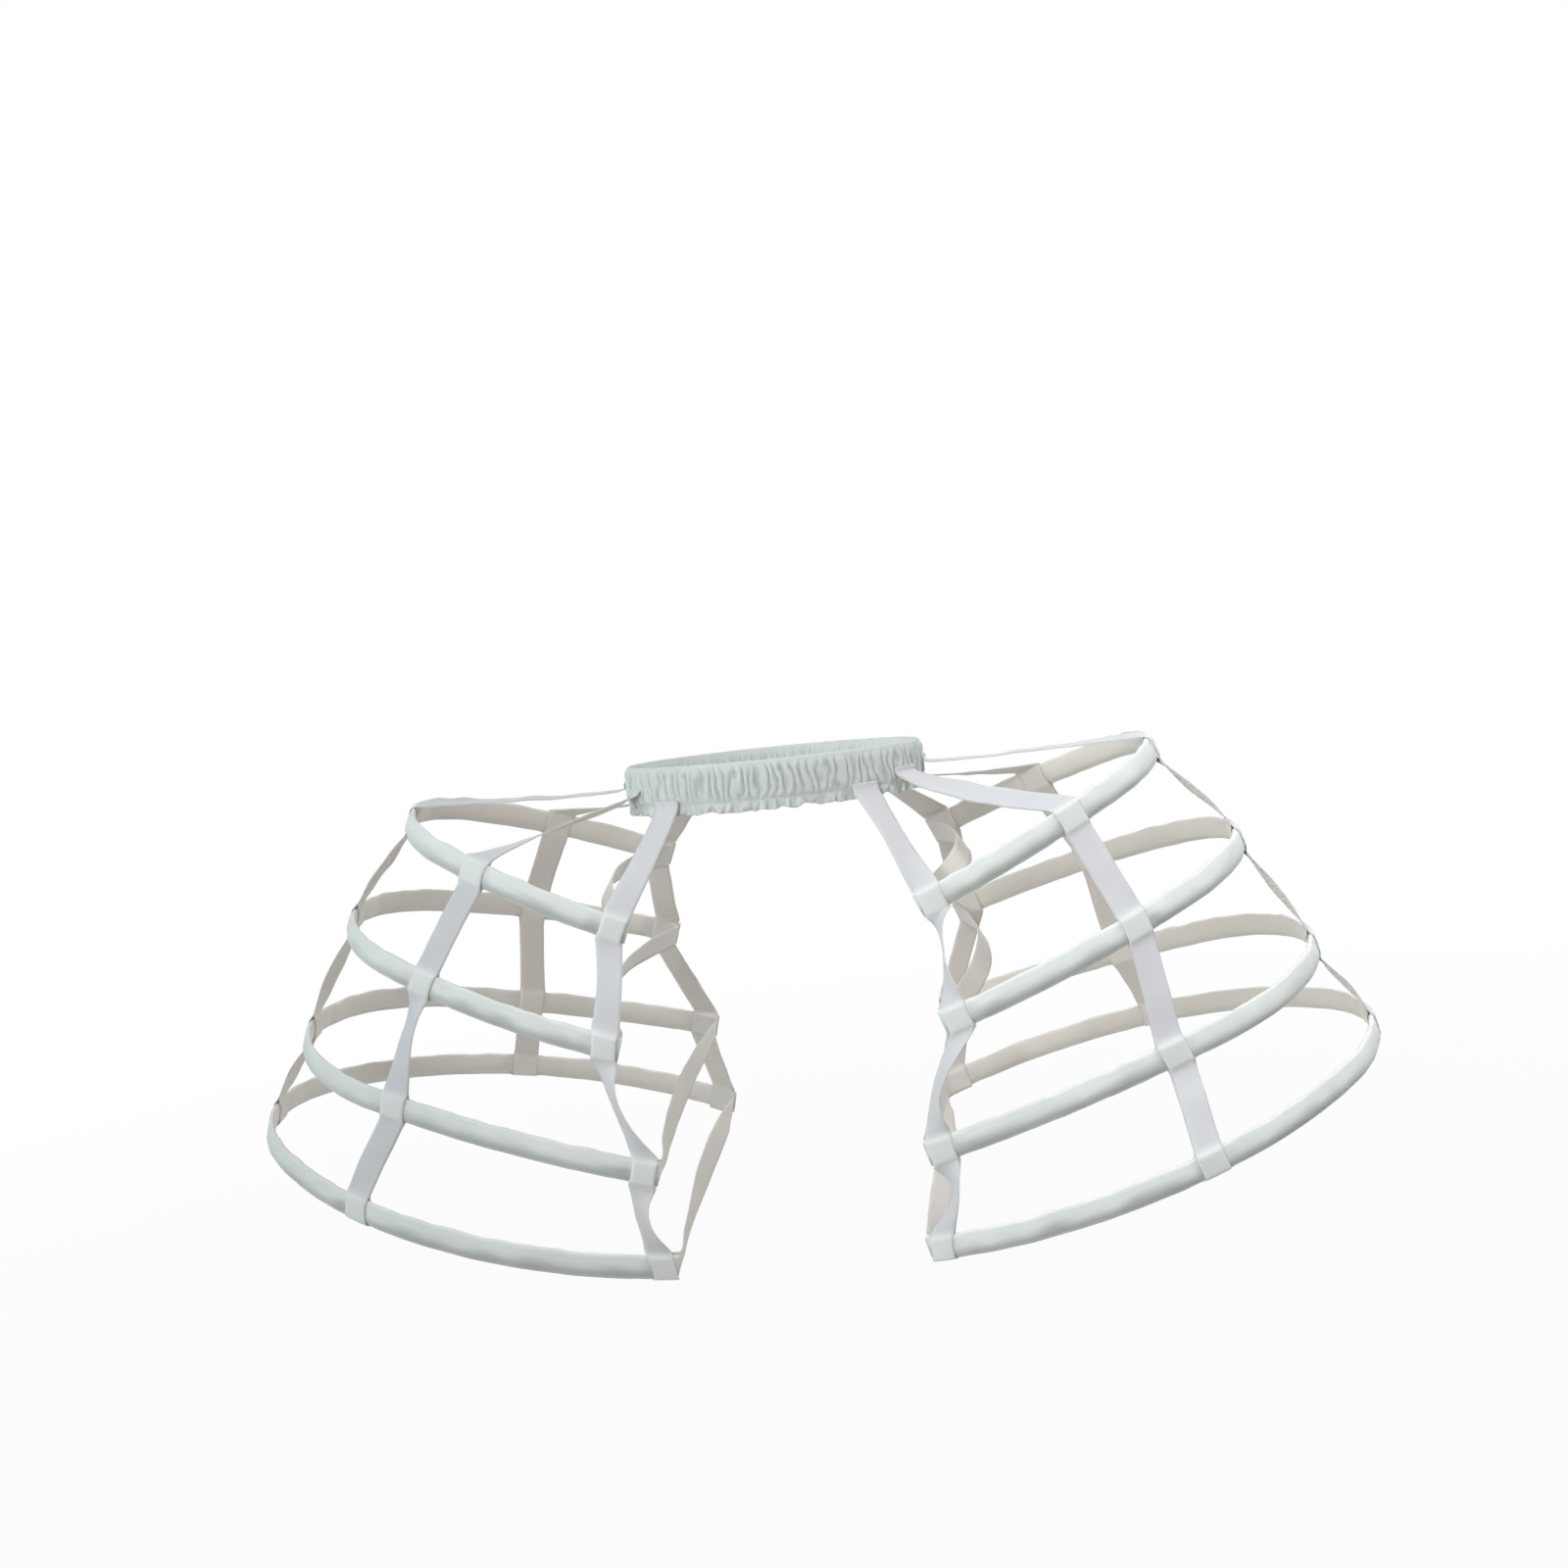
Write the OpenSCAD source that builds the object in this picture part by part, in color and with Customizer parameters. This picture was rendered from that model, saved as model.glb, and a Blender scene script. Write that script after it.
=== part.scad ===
// Side-hoop crinoline cage: two hip cages of cased hoops, carried on tapes by one elastic waistband.
// Millimetres, +Z up, front toward -Y, origin in the middle of the waist opening.
// Left and right are the wearer's: left is +X.

/* [Waistband] */
// Width of the waist along the elastic, side to side
waist_width = 232; // [210:1:290]
// Depth of the waist along the elastic, front to back
waist_depth = 170; // [150:1:205]
// Radius of the waist at the sides
waist_side_radius = 66; // [56:1:72]
// Height of the channel that holds the elastic
channel_height = 30; // [28:1:50]
// Height of the frill below the channel
frill_height = 8; // [4:1:16]
// Thickness of the band's cloth
band_cloth = 0.5; // [0.3:0.1:1]
// Number of gathers round the band
gathers = 96; // [32:1:100]
// How far a gather stands out of the band
gather_depth = 1.6; // [0.5:0.1:3]
// Share of that depth on the side next to the wearer
gather_inside = 0.6; // [0:0.05:1]
// How much the gathers differ from each other, as a share of their depth
gather_unevenness = 0.15; // [0:0.05:0.4]
// Number of waves in the frill
frill_waves = 56; // [16:1:60]
// How far a wave of the frill swings to each side
frill_depth = 2; // [0.5:0.1:2.5]
// Height of the rounded edge above and below the elastic
channel_edge = 2.5; // [2.2:0.1:4]
// How far the worn band tips up at the front, in degrees
waist_tip = 8; // [0:0.5:10]

/* [Elastic] */
// Height of the elastic
elastic_height = 25; // [12:1:25]
// Thickness of the elastic
elastic_thickness = 1.5; // [0.8:0.1:2]

/* [Top hoop] */
// Depth of the hoop, front to back
top_depth = 240; // [200:1:290]
// Distance of its open ends from the middle line
top_inner = 111; // [95:1:130]
// Level distance from its ends to its tip
top_reach = 186; // [165:1:230]
// Height of its ends below the waist
top_drop = 89; // [80:1:110]
// Rise of its tip above its ends
top_rise = 80; // [50:1:90]
// Roundness of its tip, as tip radius over half the depth
top_roundness = 0.7; // [0.5:0.05:0.85]
// How far the hips bow its tie outward
top_bow = 34; // [4:1:40]

/* [Second hoop] */
// Depth of the hoop, front to back
second_depth = 312; // [250:1:380]
// Distance of its open ends from the middle line
second_inner = 122; // [95:1:140]
// Level distance from its ends to its tip
second_reach = 236; // [195:1:290]
// Height of its ends below the waist
second_drop = 170; // [150:1:200]
// Rise of its tip above its ends
second_rise = 82; // [50:1:100]
// Roundness of its tip, as tip radius over half the depth
second_roundness = 0.7; // [0.5:0.05:0.85]
// How far the hips bow its tie outward
second_bow = 30; // [4:1:40]

/* [Third hoop] */
// Depth of the hoop, front to back
third_depth = 350; // [280:1:420]
// Distance of its open ends from the middle line
third_inner = 101; // [90:1:130]
// Level distance from its ends to its tip
third_reach = 308; // [260:1:360]
// Height of its ends below the waist
third_drop = 264; // [240:1:290]
// Rise of its tip above its ends
third_rise = 85; // [50:1:100]
// Roundness of its tip, as tip radius over half the depth
third_roundness = 0.8; // [0.5:0.05:0.85]
// How far the hips bow its tie outward
third_bow = 8; // [4:1:40]

/* [Bottom hoop] */
// Depth of the hoop where it is deepest, front to back
bottom_depth = 404; // [370:1:430]
// Level distance from its drawn-in ends to where it is deepest
bottom_deepest = 115; // [60:1:120]
// Distance of its open ends from the middle line
bottom_inner = 95; // [85:1:125]
// Level distance from its ends to its tip
bottom_reach = 356; // [345:1:420]
// Height of its ends below the waist
bottom_drop = 338; // [320:1:400]
// Rise of its tip above its ends
bottom_rise = 89; // [60:1:110]
// Roundness of its tip, as tip radius over half the depth
bottom_roundness = 0.75; // [0.5:0.05:0.85]
// How far the hips bow its tie outward
bottom_bow = 6; // [4:1:40]

/* [Hoop casings] */
// Width of the flat steel in a casing
steel_width = 14; // [8:1:18]
// Thickness of the flat steel
steel_thickness = 2; // [1:0.1:3]
// Folded cloth on each face of the steel
casing_wall = 1.6; // [0.6:0.1:2.5]
// Folded cloth above and below the steel
casing_seam = 2.8; // [2:0.1:5]
// Length of casing sewn shut past the end of the steel
casing_hem = 8; // [4:1:16]

/* [Tapes] */
// Width of the tape
tape_width = 22; // [15:1:30]
// Thickness of one layer of tape
tape_thickness = 0.6; // [0.3:0.1:1]
// Looseness of a tape pocket round its casing
pocket_slack = 0.3; // [0.2:0.05:0.6]
// Distance of the end tapes from the end of a hoop
end_inset = 1; // [0.5:0.5:12]
// Place of the front middle tape along the top hoop, as a share of its reach
front_mid_place = 0.64; // [0.5:0.01:0.7]
// How much further out the left front middle tape crosses the bottom hoop
left_front_drift = -0.04; // [-0.06:0.01:0.06]
// How much further out the right front middle tape crosses the bottom hoop
right_front_drift = 0.05; // [-0.06:0.01:0.06]
// Place of the back middle tape along the top hoop, as a share of its reach
back_mid_place = 0.495; // [0.4:0.005:0.65]
// How much further out a back middle tape crosses the bottom hoop
back_drift = 0.04; // [-0.06:0.01:0.06]
// Distance of the front and back tapes from the middle line at the waist
waist_end_place = 75; // [50:1:80]
// Distance of the middle tapes from the middle line at the waist
waist_mid_place = 104; // [100:0.5:104]
// Length of tape sewn to the waistband above the stitch row
waist_lap = 4; // [2:0.5:12]
// Slack of a tape below the waistband
waist_droop = 5; // [2:0.5:12]

/* [Ties] */
// Width of a tie
tie_width = 20; // [12:1:26]
// Length of a tie sewn to an end pocket
tie_lap = 18; // [10:1:18]
// Radius of the turn from the lap into the run of a tie
tie_bend = 4; // [2:0.5:6]

/* [Hidden] */
$fa = 3;
$fs = 1;
hoop_depth = [top_depth, second_depth, third_depth, bottom_depth];
hoop_deepest = [0, 0, 0, bottom_deepest];
hoop_inner = [top_inner, second_inner, third_inner, bottom_inner];
hoop_reach = [top_reach, second_reach, third_reach, bottom_reach];
hoop_drop = [top_drop, second_drop, third_drop, bottom_drop];
hoop_rise = [top_rise, second_rise, third_rise, bottom_rise];
hoop_roundness = [top_roundness, second_roundness, third_roundness, bottom_roundness];
tie_bow = [top_bow, second_bow, third_bow, bottom_bow];
clear = 0.2;
seat = 0.3;
hang_steps = 6;
between_steps = 4;
lap = 1;
hair = 0.1;
strip_inset = 0.5;
strip_bite = 0.75;
elastic_room = 0.3;
band_base = elastic_thickness / 2 + elastic_room + band_cloth;
band_out = band_base + gather_depth;
channel_void = channel_height - 2 * channel_edge + 2 * band_cloth;
stitch_level = -channel_height / 2;
casing_thickness = steel_thickness + 2 * clear + 2 * casing_wall;
casing_height = steel_width + 2 * clear + 2 * casing_seam;
pocket_out = casing_thickness / 2 + pocket_slack + tape_thickness;
SIDES = ["left", "right"];
TAPES = ["front_tape", "front_mid_tape", "outer_tape", "back_mid_tape", "back_tape"];

// An oval half of two arms and a round tip: reach, half depth, tip radius, place of the greatest depth.
function arm_radius(o) = let (a = o[0] - o[3]) (a * a + o[1] * o[1] - 2 * a * o[2]) / (2 * (o[1] - o[2]));
function join_angle(o) = atan2(arm_radius(o) - o[1], o[0] - o[3] - o[2]);
function on_oval(o, s, side) =
    let (big = arm_radius(o), join = o[0] - o[2] + o[2] * cos(join_angle(o)))
    s < join
        ? [o[3], side * (o[1] - big), big, side * acos((s - o[3]) / big)]
        : [o[0] - o[2], 0, o[2], side * acos(min(1, (s - o[0] + o[2]) / o[2]))];
function oval_point(c) = [c[0] + c[2] * cos(c[3]), c[1] + c[2] * sin(c[3]), 0];
function oval_along(c) = [-sin(c[3]), cos(c[3]), 0];
function oval_out(c) = [cos(c[3]), sin(c[3]), 0];

waist = [waist_width / 2, waist_depth / 2, waist_side_radius, 0];
function hoop_oval(i) = [norm([hoop_reach[i], hoop_rise[i]]), hoop_depth[i] / 2,
    hoop_roundness[i] * hoop_depth[i] / 2, hoop_deepest[i]];
function hoop_tilt(i) = atan2(hoop_rise[i], hoop_reach[i]);
function turned(i, v) = let (t = hoop_tilt(i))
    [v[0] * cos(t) - v[2] * sin(t), v[1], v[0] * sin(t) + v[2] * cos(t)];
function placed(i, p) = [hoop_inner[i], 0, -hoop_drop[i]] + turned(i, p);

function tipped(v) = let (c = cos(waist_tip), s = sin(waist_tip))
    [v[0], v[1] * c + v[2] * s, v[2] * c - v[1] * s];

// Where tape k (front to back) crosses hoop i, and where it leaves the waistband.
// The front drift is that of the side being made.
function crossing(i, k) =
    let (o = hoop_oval(i), end = end_inset + tape_width / 2, down = i / (len(hoop_depth) - 1))
    k == 0 ? on_oval(o, end, -1)
    : k == 1 ? on_oval(o, (front_mid_place + $front_drift * down) * o[0], -1)
    : k == 2 ? on_oval(o, o[0], 1)
    : k == 3 ? on_oval(o, (back_mid_place + back_drift * down) * o[0], 1)
    : on_oval(o, end, 1);
function leaving(k) =
    k == 0 ? on_oval(waist, waist_end_place, -1)
    : k == 1 ? on_oval(waist, waist_mid_place, -1)
    : k == 2 ? on_oval(waist, waist[0], 1)
    : k == 3 ? on_oval(waist, waist_mid_place, 1)
    : on_oval(waist, waist_end_place, 1);

// Ribbons through a row of middles, each with its own direction across.
function unit(v) = v / norm(v);
function ahead(c, j) = unit(c[min(j + 1, len(c) - 1)] - c[max(j - 1, 0)]);
function ribbon_points(c, u, w, t) = [
    for (j = [0 : len(c) - 1])
        let (e = unit(u[j]) * w / 2, n = unit(cross(u[j], ahead(c, j))) * t / 2)
        each [c[j] + e + n, c[j] - e + n, c[j] - e - n, c[j] + e - n]
];
function ribbon_faces(n) = [
    each [[2, 1, 0], [3, 2, 0]],
    for (j = [0 : n - 2], k = [0 : 3])
        let (a = 4 * j + k, b = 4 * j + (k + 1) % 4)
        each [[a, b, b + 4], [a, b + 4, a + 4]],
    each [[4 * n - 4, 4 * n - 3, 4 * n - 2], [4 * n - 4, 4 * n - 2, 4 * n - 1]]
];
module ribbon(c, u, w, t) {
    polyhedron(ribbon_points(c, u, w, t), ribbon_faces(len(c)));
}

// Arcs, and the paths made of them.
module arc(cx, cy, radius, from, to) {
    translate([cx, cy, 0]) rotate([0, 0, from]) rotate_extrude(angle = to - from)
        translate([radius, 0]) children();
}
// The first section runs along the arms, the second, a hair bigger, round the tips that the arms enter.
module along_oval(o, trim) {
    big = arm_radius(o);
    join = join_angle(o);
    cut = asin((trim - o[3]) / big);
    into = lap / big * 180 / PI;
    arc(o[3], big - o[1], big, cut - 90, into - join) children(0);
    arc(o[0] - o[2], 0, o[2], -join, join) children(1);
    arc(o[3], o[1] - big, big, join - into, 90 - cut) children(0);
}
module around_oval(o) {
    big = arm_radius(o);
    join = join_angle(o);
    into = lap / big * 180 / PI;
    arc(0, o[1] - big, big, join - into, 180 - join + into) children(0);
    arc(0, big - o[1], big, 180 + join - into, 360 - join + into) children(0);
    for (turn = [0, 180]) rotate([0, 0, turn])
        arc(o[0] - o[2], 0, o[2], -join, join) children(1);
}
module bar(t, h) {
    square([t, h], center = true);
}
module flat_tube(h, t) {
    square([t, h - t], center = true);
    for (s = [-1, 1]) translate([0, s * (h - t) / 2]) circle(d = t);
}
module on_hoop(i) {
    translate([hoop_inner[i], 0, -hoop_drop[i]]) rotate([0, -hoop_tilt(i), 0]) children();
}
module worn(side) {
    if (side == "left") children();
    else mirror([1, 0, 0]) children();
}

// Waistband: a gathered channel with a frill under its stitch row.
stations = gathers * 4;
waist_join = join_angle(waist);
tip_run = waist[2] * waist_join * PI / 180;
arm_run = arm_radius(waist) * (90 - waist_join) * PI / 180;
function quarter(t) = t < tip_run
    ? [waist[0] - waist[2], 0, waist[2], t / tip_run * waist_join]
    : [0, waist[1] - arm_radius(waist), arm_radius(waist),
        waist_join + (t - tip_run) / arm_run * (90 - waist_join)];
function round_waist(m) =
    let (run = tip_run + arm_run, t = 4 * run * m / stations, q = floor(t / run), f = t - q * run,
        c = quarter(q % 2 == 0 ? f : run - f), p = oval_point(c), n = oval_out(c),
        sx = q == 0 || q == 3 ? 1 : -1, sy = q < 2 ? 1 : -1)
    [[sx * p[0], sy * p[1], 0], [sx * n[0], sy * n[1], 0]];
function gather(m) =
    (1 - cos(90 * m)) / 2 * (1 - gather_unevenness * (1 + sin(137.5 * floor(m / 4))));
function frill(m) = frill_depth * sin(360 * frill_waves * m / stations);
function band_profile(m) =
    let (top = channel_height / 2, flat = top - channel_edge, hem = stitch_level - frill_height,
        g = gather(m) * gather_depth, out = band_base + g, in = -band_base - gather_inside * g,
        f = frill(m))
    [[band_cloth, top], [out, flat], [out, -flat], [band_cloth, stitch_level], [f + band_cloth, hem],
        [f - band_cloth, hem], [-band_cloth, stitch_level], [in, -flat], [in, flat], [-band_cloth, top]];
band_ring = len(band_profile(0));
module gathered_band() {
    points = [
        for (m = [0 : stations - 1])
            let (at = round_waist(m))
            for (p = band_profile(m)) at[0] + p[0] * at[1] + [0, 0, p[1]]
    ];
    faces = [
        for (m = [0 : stations - 1], k = [0 : band_ring - 1])
            let (a = m * band_ring, b = (m + 1) % stations * band_ring, j = (k + 1) % band_ring)
            each [[a + k, b + k, b + j], [a + k, b + j, a + j]]
    ];
    polyhedron(points, faces);
}
module waistband() {
    color("white") rotate([-waist_tip, 0, 0]) difference() {
        gathered_band();
        around_oval(waist) {
            bar(elastic_thickness + 2 * elastic_room, channel_void);
            bar(elastic_thickness + 2 * elastic_room + hair, channel_void + hair);
        }
    }
}
module waist_elastic() {
    color("ivory") rotate([-waist_tip, 0, 0]) around_oval(waist) {
        bar(elastic_thickness, elastic_height);
        bar(elastic_thickness + hair, elastic_height + hair);
    }
}

// Hoops: a casing with its flat steel inside.
module hoop_casing(i) {
    color("white") on_hoop(i) difference() {
        along_oval(hoop_oval(i), 0) {
            flat_tube(casing_height, casing_thickness);
            flat_tube(casing_height + hair, casing_thickness + hair);
        }
        along_oval(hoop_oval(i), casing_hem) {
            bar(steel_thickness + 2 * clear, steel_width + 2 * clear);
            bar(steel_thickness + 2 * clear + hair, steel_width + 2 * clear + hair);
        }
    }
}
module hoop_steel(i) {
    color("gainsboro") on_hoop(i) along_oval(hoop_oval(i), casing_hem + clear) {
        bar(steel_thickness, steel_width);
        bar(steel_thickness + hair, steel_width + hair);
    }
}

// Tapes: doubled ribbon with a pocket round every hoop.
module pocket(c) {
    half = tape_width / 2 / c[2] * 180 / PI;
    inner = 2 * pocket_slack;
    outer = inner + 2 * tape_thickness;
    arc(c[0], c[1], c[2], c[3] - half, c[3] + half) difference() {
        flat_tube(casing_height + outer, casing_thickness + outer);
        flat_tube(casing_height + inner, casing_thickness + inner);
    }
}
function pocket_edge(i, k, up) =
    let (c = crossing(i, k))
    placed(i, oval_point(c)
        + [0, 0, up * (casing_height / 2 + pocket_slack + strip_bite * tape_thickness)]);
function across(i, k) = turned(i, oval_along(crossing(i, k)));
function blend(a, b, f) = a + (b - a) * f;
module hanging(k) {
    at = leaving(k);
    root = oval_point(at) + oval_out(at) * (band_out + seat + tape_thickness);
    p = tipped(root + [0, 0, stitch_level - tape_thickness]);
    q = p - [0, 0, waist_droop];
    e = pocket_edge(0, k, 1);
    fs = [for (j = [0 : hang_steps]) j / hang_steps];
    middles = [tipped(root + [0, 0, stitch_level + waist_lap]),
        for (f = fs) blend(blend(p, q, f), blend(q, e, f), f)];
    start = tipped(oval_along(at));
    turns = [start, for (f = fs) blend(start, across(0, k), f)];
    ribbon(middles, turns, tape_width - 2 * strip_inset, 2 * tape_thickness);
}
module between(i, k) {
    fs = [for (j = [0 : between_steps]) j / between_steps];
    p = pocket_edge(i, k, -1);
    q = pocket_edge(i + 1, k, 1);
    ribbon([for (f = fs) blend(p, q, f)], [for (f = fs) blend(across(i, k), across(i + 1, k), f)],
        tape_width - 2 * strip_inset, 2 * tape_thickness);
}
module long_tape(k) {
    color("ghostwhite") {
        hanging(k);
        for (i = [0 : 3]) on_hoop(i) pocket(crossing(i, k));
        for (i = [0 : 2]) between(i, k);
    }
}

// Ties: a tape from the front end of a hoop to its back end, sewn inside the end pockets.
function inside_arm(o, s) =
    let (big = arm_radius(o), rho = big - pocket_out - seat - tape_thickness / 2, x = s - o[3])
    [s, big - o[1] - sqrt(rho * rho - x * x)];
function tie_side(i) =
    let (o = hoop_oval(i), run = end_inset / 2, turn = run + tie_bend,
        from = inside_arm(o, turn), corner = inside_arm(o, run), to = corner + [0, tie_bend])
    [for (s = [turn + tie_lap : -tie_lap / 4 : turn + tie_lap / 8]) inside_arm(o, s),
        for (f = [0 : 0.25 : 0.75]) blend(blend(from, corner, f), blend(corner, to, f), f),
        for (f = [0 : 0.125 : 1]) [run + tie_bow[i] * (1 - (1 - f) * (1 - f)), to[1] * (1 - f)]];
function tie_path(i) =
    let (half = tie_side(i), n = len(half))
    [each half, for (j = [n - 2 : -1 : 0]) [half[j][0], -half[j][1]]];
function beside(p, d) = [
    for (j = [0 : len(p) - 1]) let (a = ahead(p, j)) p[j] + d * [-a[1], a[0]]
];
module tie(i) {
    path = tie_path(i);
    far = beside(path, -tape_thickness / 2);
    back = [for (j = [len(far) - 1 : -1 : 0]) far[j]];
    color("ghostwhite") on_hoop(i) linear_extrude(height = tie_width, center = true)
        polygon(concat(beside(path, tape_thickness / 2), back));
}

waistband();
waist_elastic();
for (s = SIDES, i = [0 : 3]) {
    worn(s) hoop_casing(i);
    worn(s) hoop_steel(i);
    worn(s) tie(i);
}
for (s = SIDES, k = [0 : 4]) {
    $front_drift = s == "left" ? left_front_drift : right_front_drift;
    worn(s) long_tape(k);
}
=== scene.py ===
"""Side-hoop crinoline cage: gathered waistband, cased hoops, doubled tapes, ties and their stitching."""
import math
import random

import bmesh
import bpy
import numpy as np
from bpy.props import FloatProperty, FloatVectorProperty, IntProperty, PointerProperty
from mathutils import Matrix, Vector


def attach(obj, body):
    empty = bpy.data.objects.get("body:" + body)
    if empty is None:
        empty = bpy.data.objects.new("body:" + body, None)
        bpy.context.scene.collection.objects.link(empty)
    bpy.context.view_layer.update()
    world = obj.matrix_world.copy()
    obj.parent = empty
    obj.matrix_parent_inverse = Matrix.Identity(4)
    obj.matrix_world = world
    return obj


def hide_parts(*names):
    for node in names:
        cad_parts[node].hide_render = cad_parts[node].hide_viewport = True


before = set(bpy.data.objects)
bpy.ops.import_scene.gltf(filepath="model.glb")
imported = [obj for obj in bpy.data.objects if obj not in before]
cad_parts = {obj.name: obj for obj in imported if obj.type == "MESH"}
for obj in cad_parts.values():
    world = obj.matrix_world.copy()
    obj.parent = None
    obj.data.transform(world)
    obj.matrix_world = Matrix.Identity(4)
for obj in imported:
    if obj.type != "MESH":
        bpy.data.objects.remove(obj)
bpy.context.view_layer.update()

bl_info = {
    "name": "Crinoline cage",
    "version": (1, 0, 0),
    "blender": (4, 5, 0),
    "location": "3D View > Sidebar > Cage",
    "description": "Dresses the side-hoop crinoline cage in cloth, tape and thread",
    "category": "Object",
}

SIDES = {"left": 1, "right": -1}
HOOPS = 4
TAPES = ("front_tape", "front_mid_tape", "outer_tape", "back_mid_tape", "back_tape")
OUTER_TAPE = TAPES.index("outer_tape")
END_TAPES = (0, len(TAPES) - 1)


# Sizes and colours that a user would change


def length(title, about, default):
    return FloatProperty(name=title, description=about, default=default, unit="LENGTH", precision=4)


def four_lengths(title, about, default):
    return FloatVectorProperty(
        name=title, description=about, default=default, size=HOOPS, unit="LENGTH", precision=4)


def share(title, about, default):
    return FloatProperty(name=title, description=about, default=default, subtype="FACTOR", precision=3)


def four_shares(title, about, default):
    return FloatVectorProperty(name=title, description=about, default=default, size=HOOPS, precision=3)


def count(title, about, default):
    return IntProperty(name=title, description=about, default=default)


def colour(title, about, default):
    return FloatVectorProperty(
        name=title, description=about, default=default, size=3, subtype="COLOR", min=0, max=1)


class CageBandSizes(bpy.types.PropertyGroup):
    """Sizes of the gathered waistband."""
    width: length("Waist width", "Width of the waist along the elastic", 0.232)
    depth: length("Waist depth", "Depth of the waist along the elastic", 0.170)
    side_radius: length("Side radius", "Radius of the waist at the sides", 0.066)
    channel: length("Channel height", "Height of the channel round the elastic", 0.030)
    frill: length("Frill height", "Height of the frill below the channel", 0.008)
    cloth: length("Cloth", "Thickness of the band's cloth", 0.0004)
    base: length("Channel half", "Half the thickness of the channel between gathers", 0.00155)
    gathers: count("Gathers", "Number of gathers round the band", 96)
    gather_depth: length("Gather depth", "How far a gather stands out", 0.0020)
    frill_waves: count("Frill waves", "Number of waves in the frill", 58)
    frill_depth: length("Frill depth", "How far a wave of the frill swings", 0.0020)
    unevenness: share("Unevenness", "How much the gathers differ from each other", 0.55)
    tip: FloatProperty(name="Tip", description="How far the worn band tips up at the front",
                       default=math.radians(8), subtype="ANGLE")


class CageHoopSizes(bpy.types.PropertyGroup):
    """Sizes of the cased hoops, from the top one to the bottom one."""
    depth: four_lengths("Depths", "Depth of each hoop", (0.240, 0.312, 0.350, 0.404))
    deepest: four_lengths("Deepest", "Distance from the ends to the greatest depth", (0, 0, 0, 0.115))
    inner: four_lengths("Ends", "Distance of the ends from the middle", (0.111, 0.122, 0.101, 0.095))
    reach: four_lengths("Reaches", "Level distance from ends to tip", (0.186, 0.236, 0.308, 0.356))
    drop: four_lengths("Drops", "Height of the ends below the waist", (0.089, 0.170, 0.264, 0.338))
    rise: four_lengths("Rises", "Rise of the tip above the ends", (0.080, 0.082, 0.085, 0.089))
    roundness: four_shares("Tip roundness", "Tip radius over half the depth", (0.7, 0.7, 0.8, 0.75))
    height: length("Casing height", "Height of a casing", 0.020)
    thickness: length("Casing thickness", "Thickness of a casing", 0.0054)
    lumps: length("Lumps", "How uneven a filled casing is", 0.00035)
    ridge: length("Ridge", "How far the filled casing swells along its middle", 0.0020)


class CageTapeSizes(bpy.types.PropertyGroup):
    """Sizes of the long tapes and the ties."""
    width: length("Tape width", "Width of the tape", 0.022)
    cloth: length("Tape thickness", "Thickness of one layer of tape", 0.0005)
    pocket: length("Pocket half", "Middle of the tape from the middle of the casing", 0.0034)
    end_inset: length("End inset", "Distance of the end tapes from the end of a hoop", 0.001)
    front_place: share("Front middle", "Place of the front middle tape on the top hoop", 0.64)
    left_drift: share("Left drift", "How much further out that tape is at the bottom, left", -0.04)
    right_drift: share("Right drift", "How much further out that tape is at the bottom, right", 0.05)
    back_place: share("Back middle", "Place of the back middle tape on the top hoop", 0.495)
    back_drift: share("Back drift", "How much further out that tape is at the bottom", 0.04)
    waist_end: length("Waist ends", "Distance of the end tapes from the middle at the waist", 0.075)
    waist_mid: length("Waist middles", "Distance of the middle tapes from the middle", 0.104)
    waist_lap: length("Waist lap", "Length of tape sewn above the stitch row", 0.004)
    waist_droop: length("Waist droop", "Slack of a tape below the waistband", 0.005)
    tie_width: length("Tie width", "Width of a tie", 0.020)
    tie_lap: length("Tie lap", "Length of a tie sewn to an end pocket", 0.018)
    tie_bend: length("Tie bend", "Radius of the turn from the lap into the run", 0.004)
    tie_bow: four_lengths("Tie bows", "How far each tie bows outward", (0.034, 0.030, 0.008, 0.006))


class CageThreadSizes(bpy.types.PropertyGroup):
    """Sizes of the stitches."""
    pitch: length("Stitch pitch", "Distance from stitch to stitch", 0.0028)
    stitch: length("Stitch length", "Length of thread that shows", 0.0021)
    thread: length("Thread", "Thickness of the thread", 0.00042)


class CageColours(bpy.types.PropertyGroup):
    """Colours of the cloth, the painted warm shade of its inner faces, the thread, the hidden parts and the
    floor.
    """
    band: colour("Band cotton", "Gathered cotton of the waistband", (0.64, 0.70, 0.69))
    casing: colour("Casing cotton", "Smooth cotton of the hoop casings", (0.775, 0.83, 0.835))
    tape: colour("Tape", "Woven tape", (0.64, 0.66, 0.70))
    # Painted warm shade: the colour given to the faces next to the wearer, which are the same white cloth.
    inside: colour("Inner faces", "Painted warm shade of the faces next to the wearer", (0.765, 0.725, 0.675))
    thread: colour("Thread", "Sewing thread", (0.82, 0.84, 0.84))
    elastic: colour("Elastic", "Woven elastic", (0.72, 0.71, 0.66))
    steel: colour("Coated steel", "White coat of the hoop steels", (0.70, 0.71, 0.71))
    floor: colour("Floor", "Plain pale floor", (0.92, 0.92, 0.92))


def sizes(group):
    return getattr(bpy.context.scene, "cage_" + group)


def colour_of(name):
    return tuple(getattr(sizes("colour"), name))


# Curves of the frame


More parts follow.
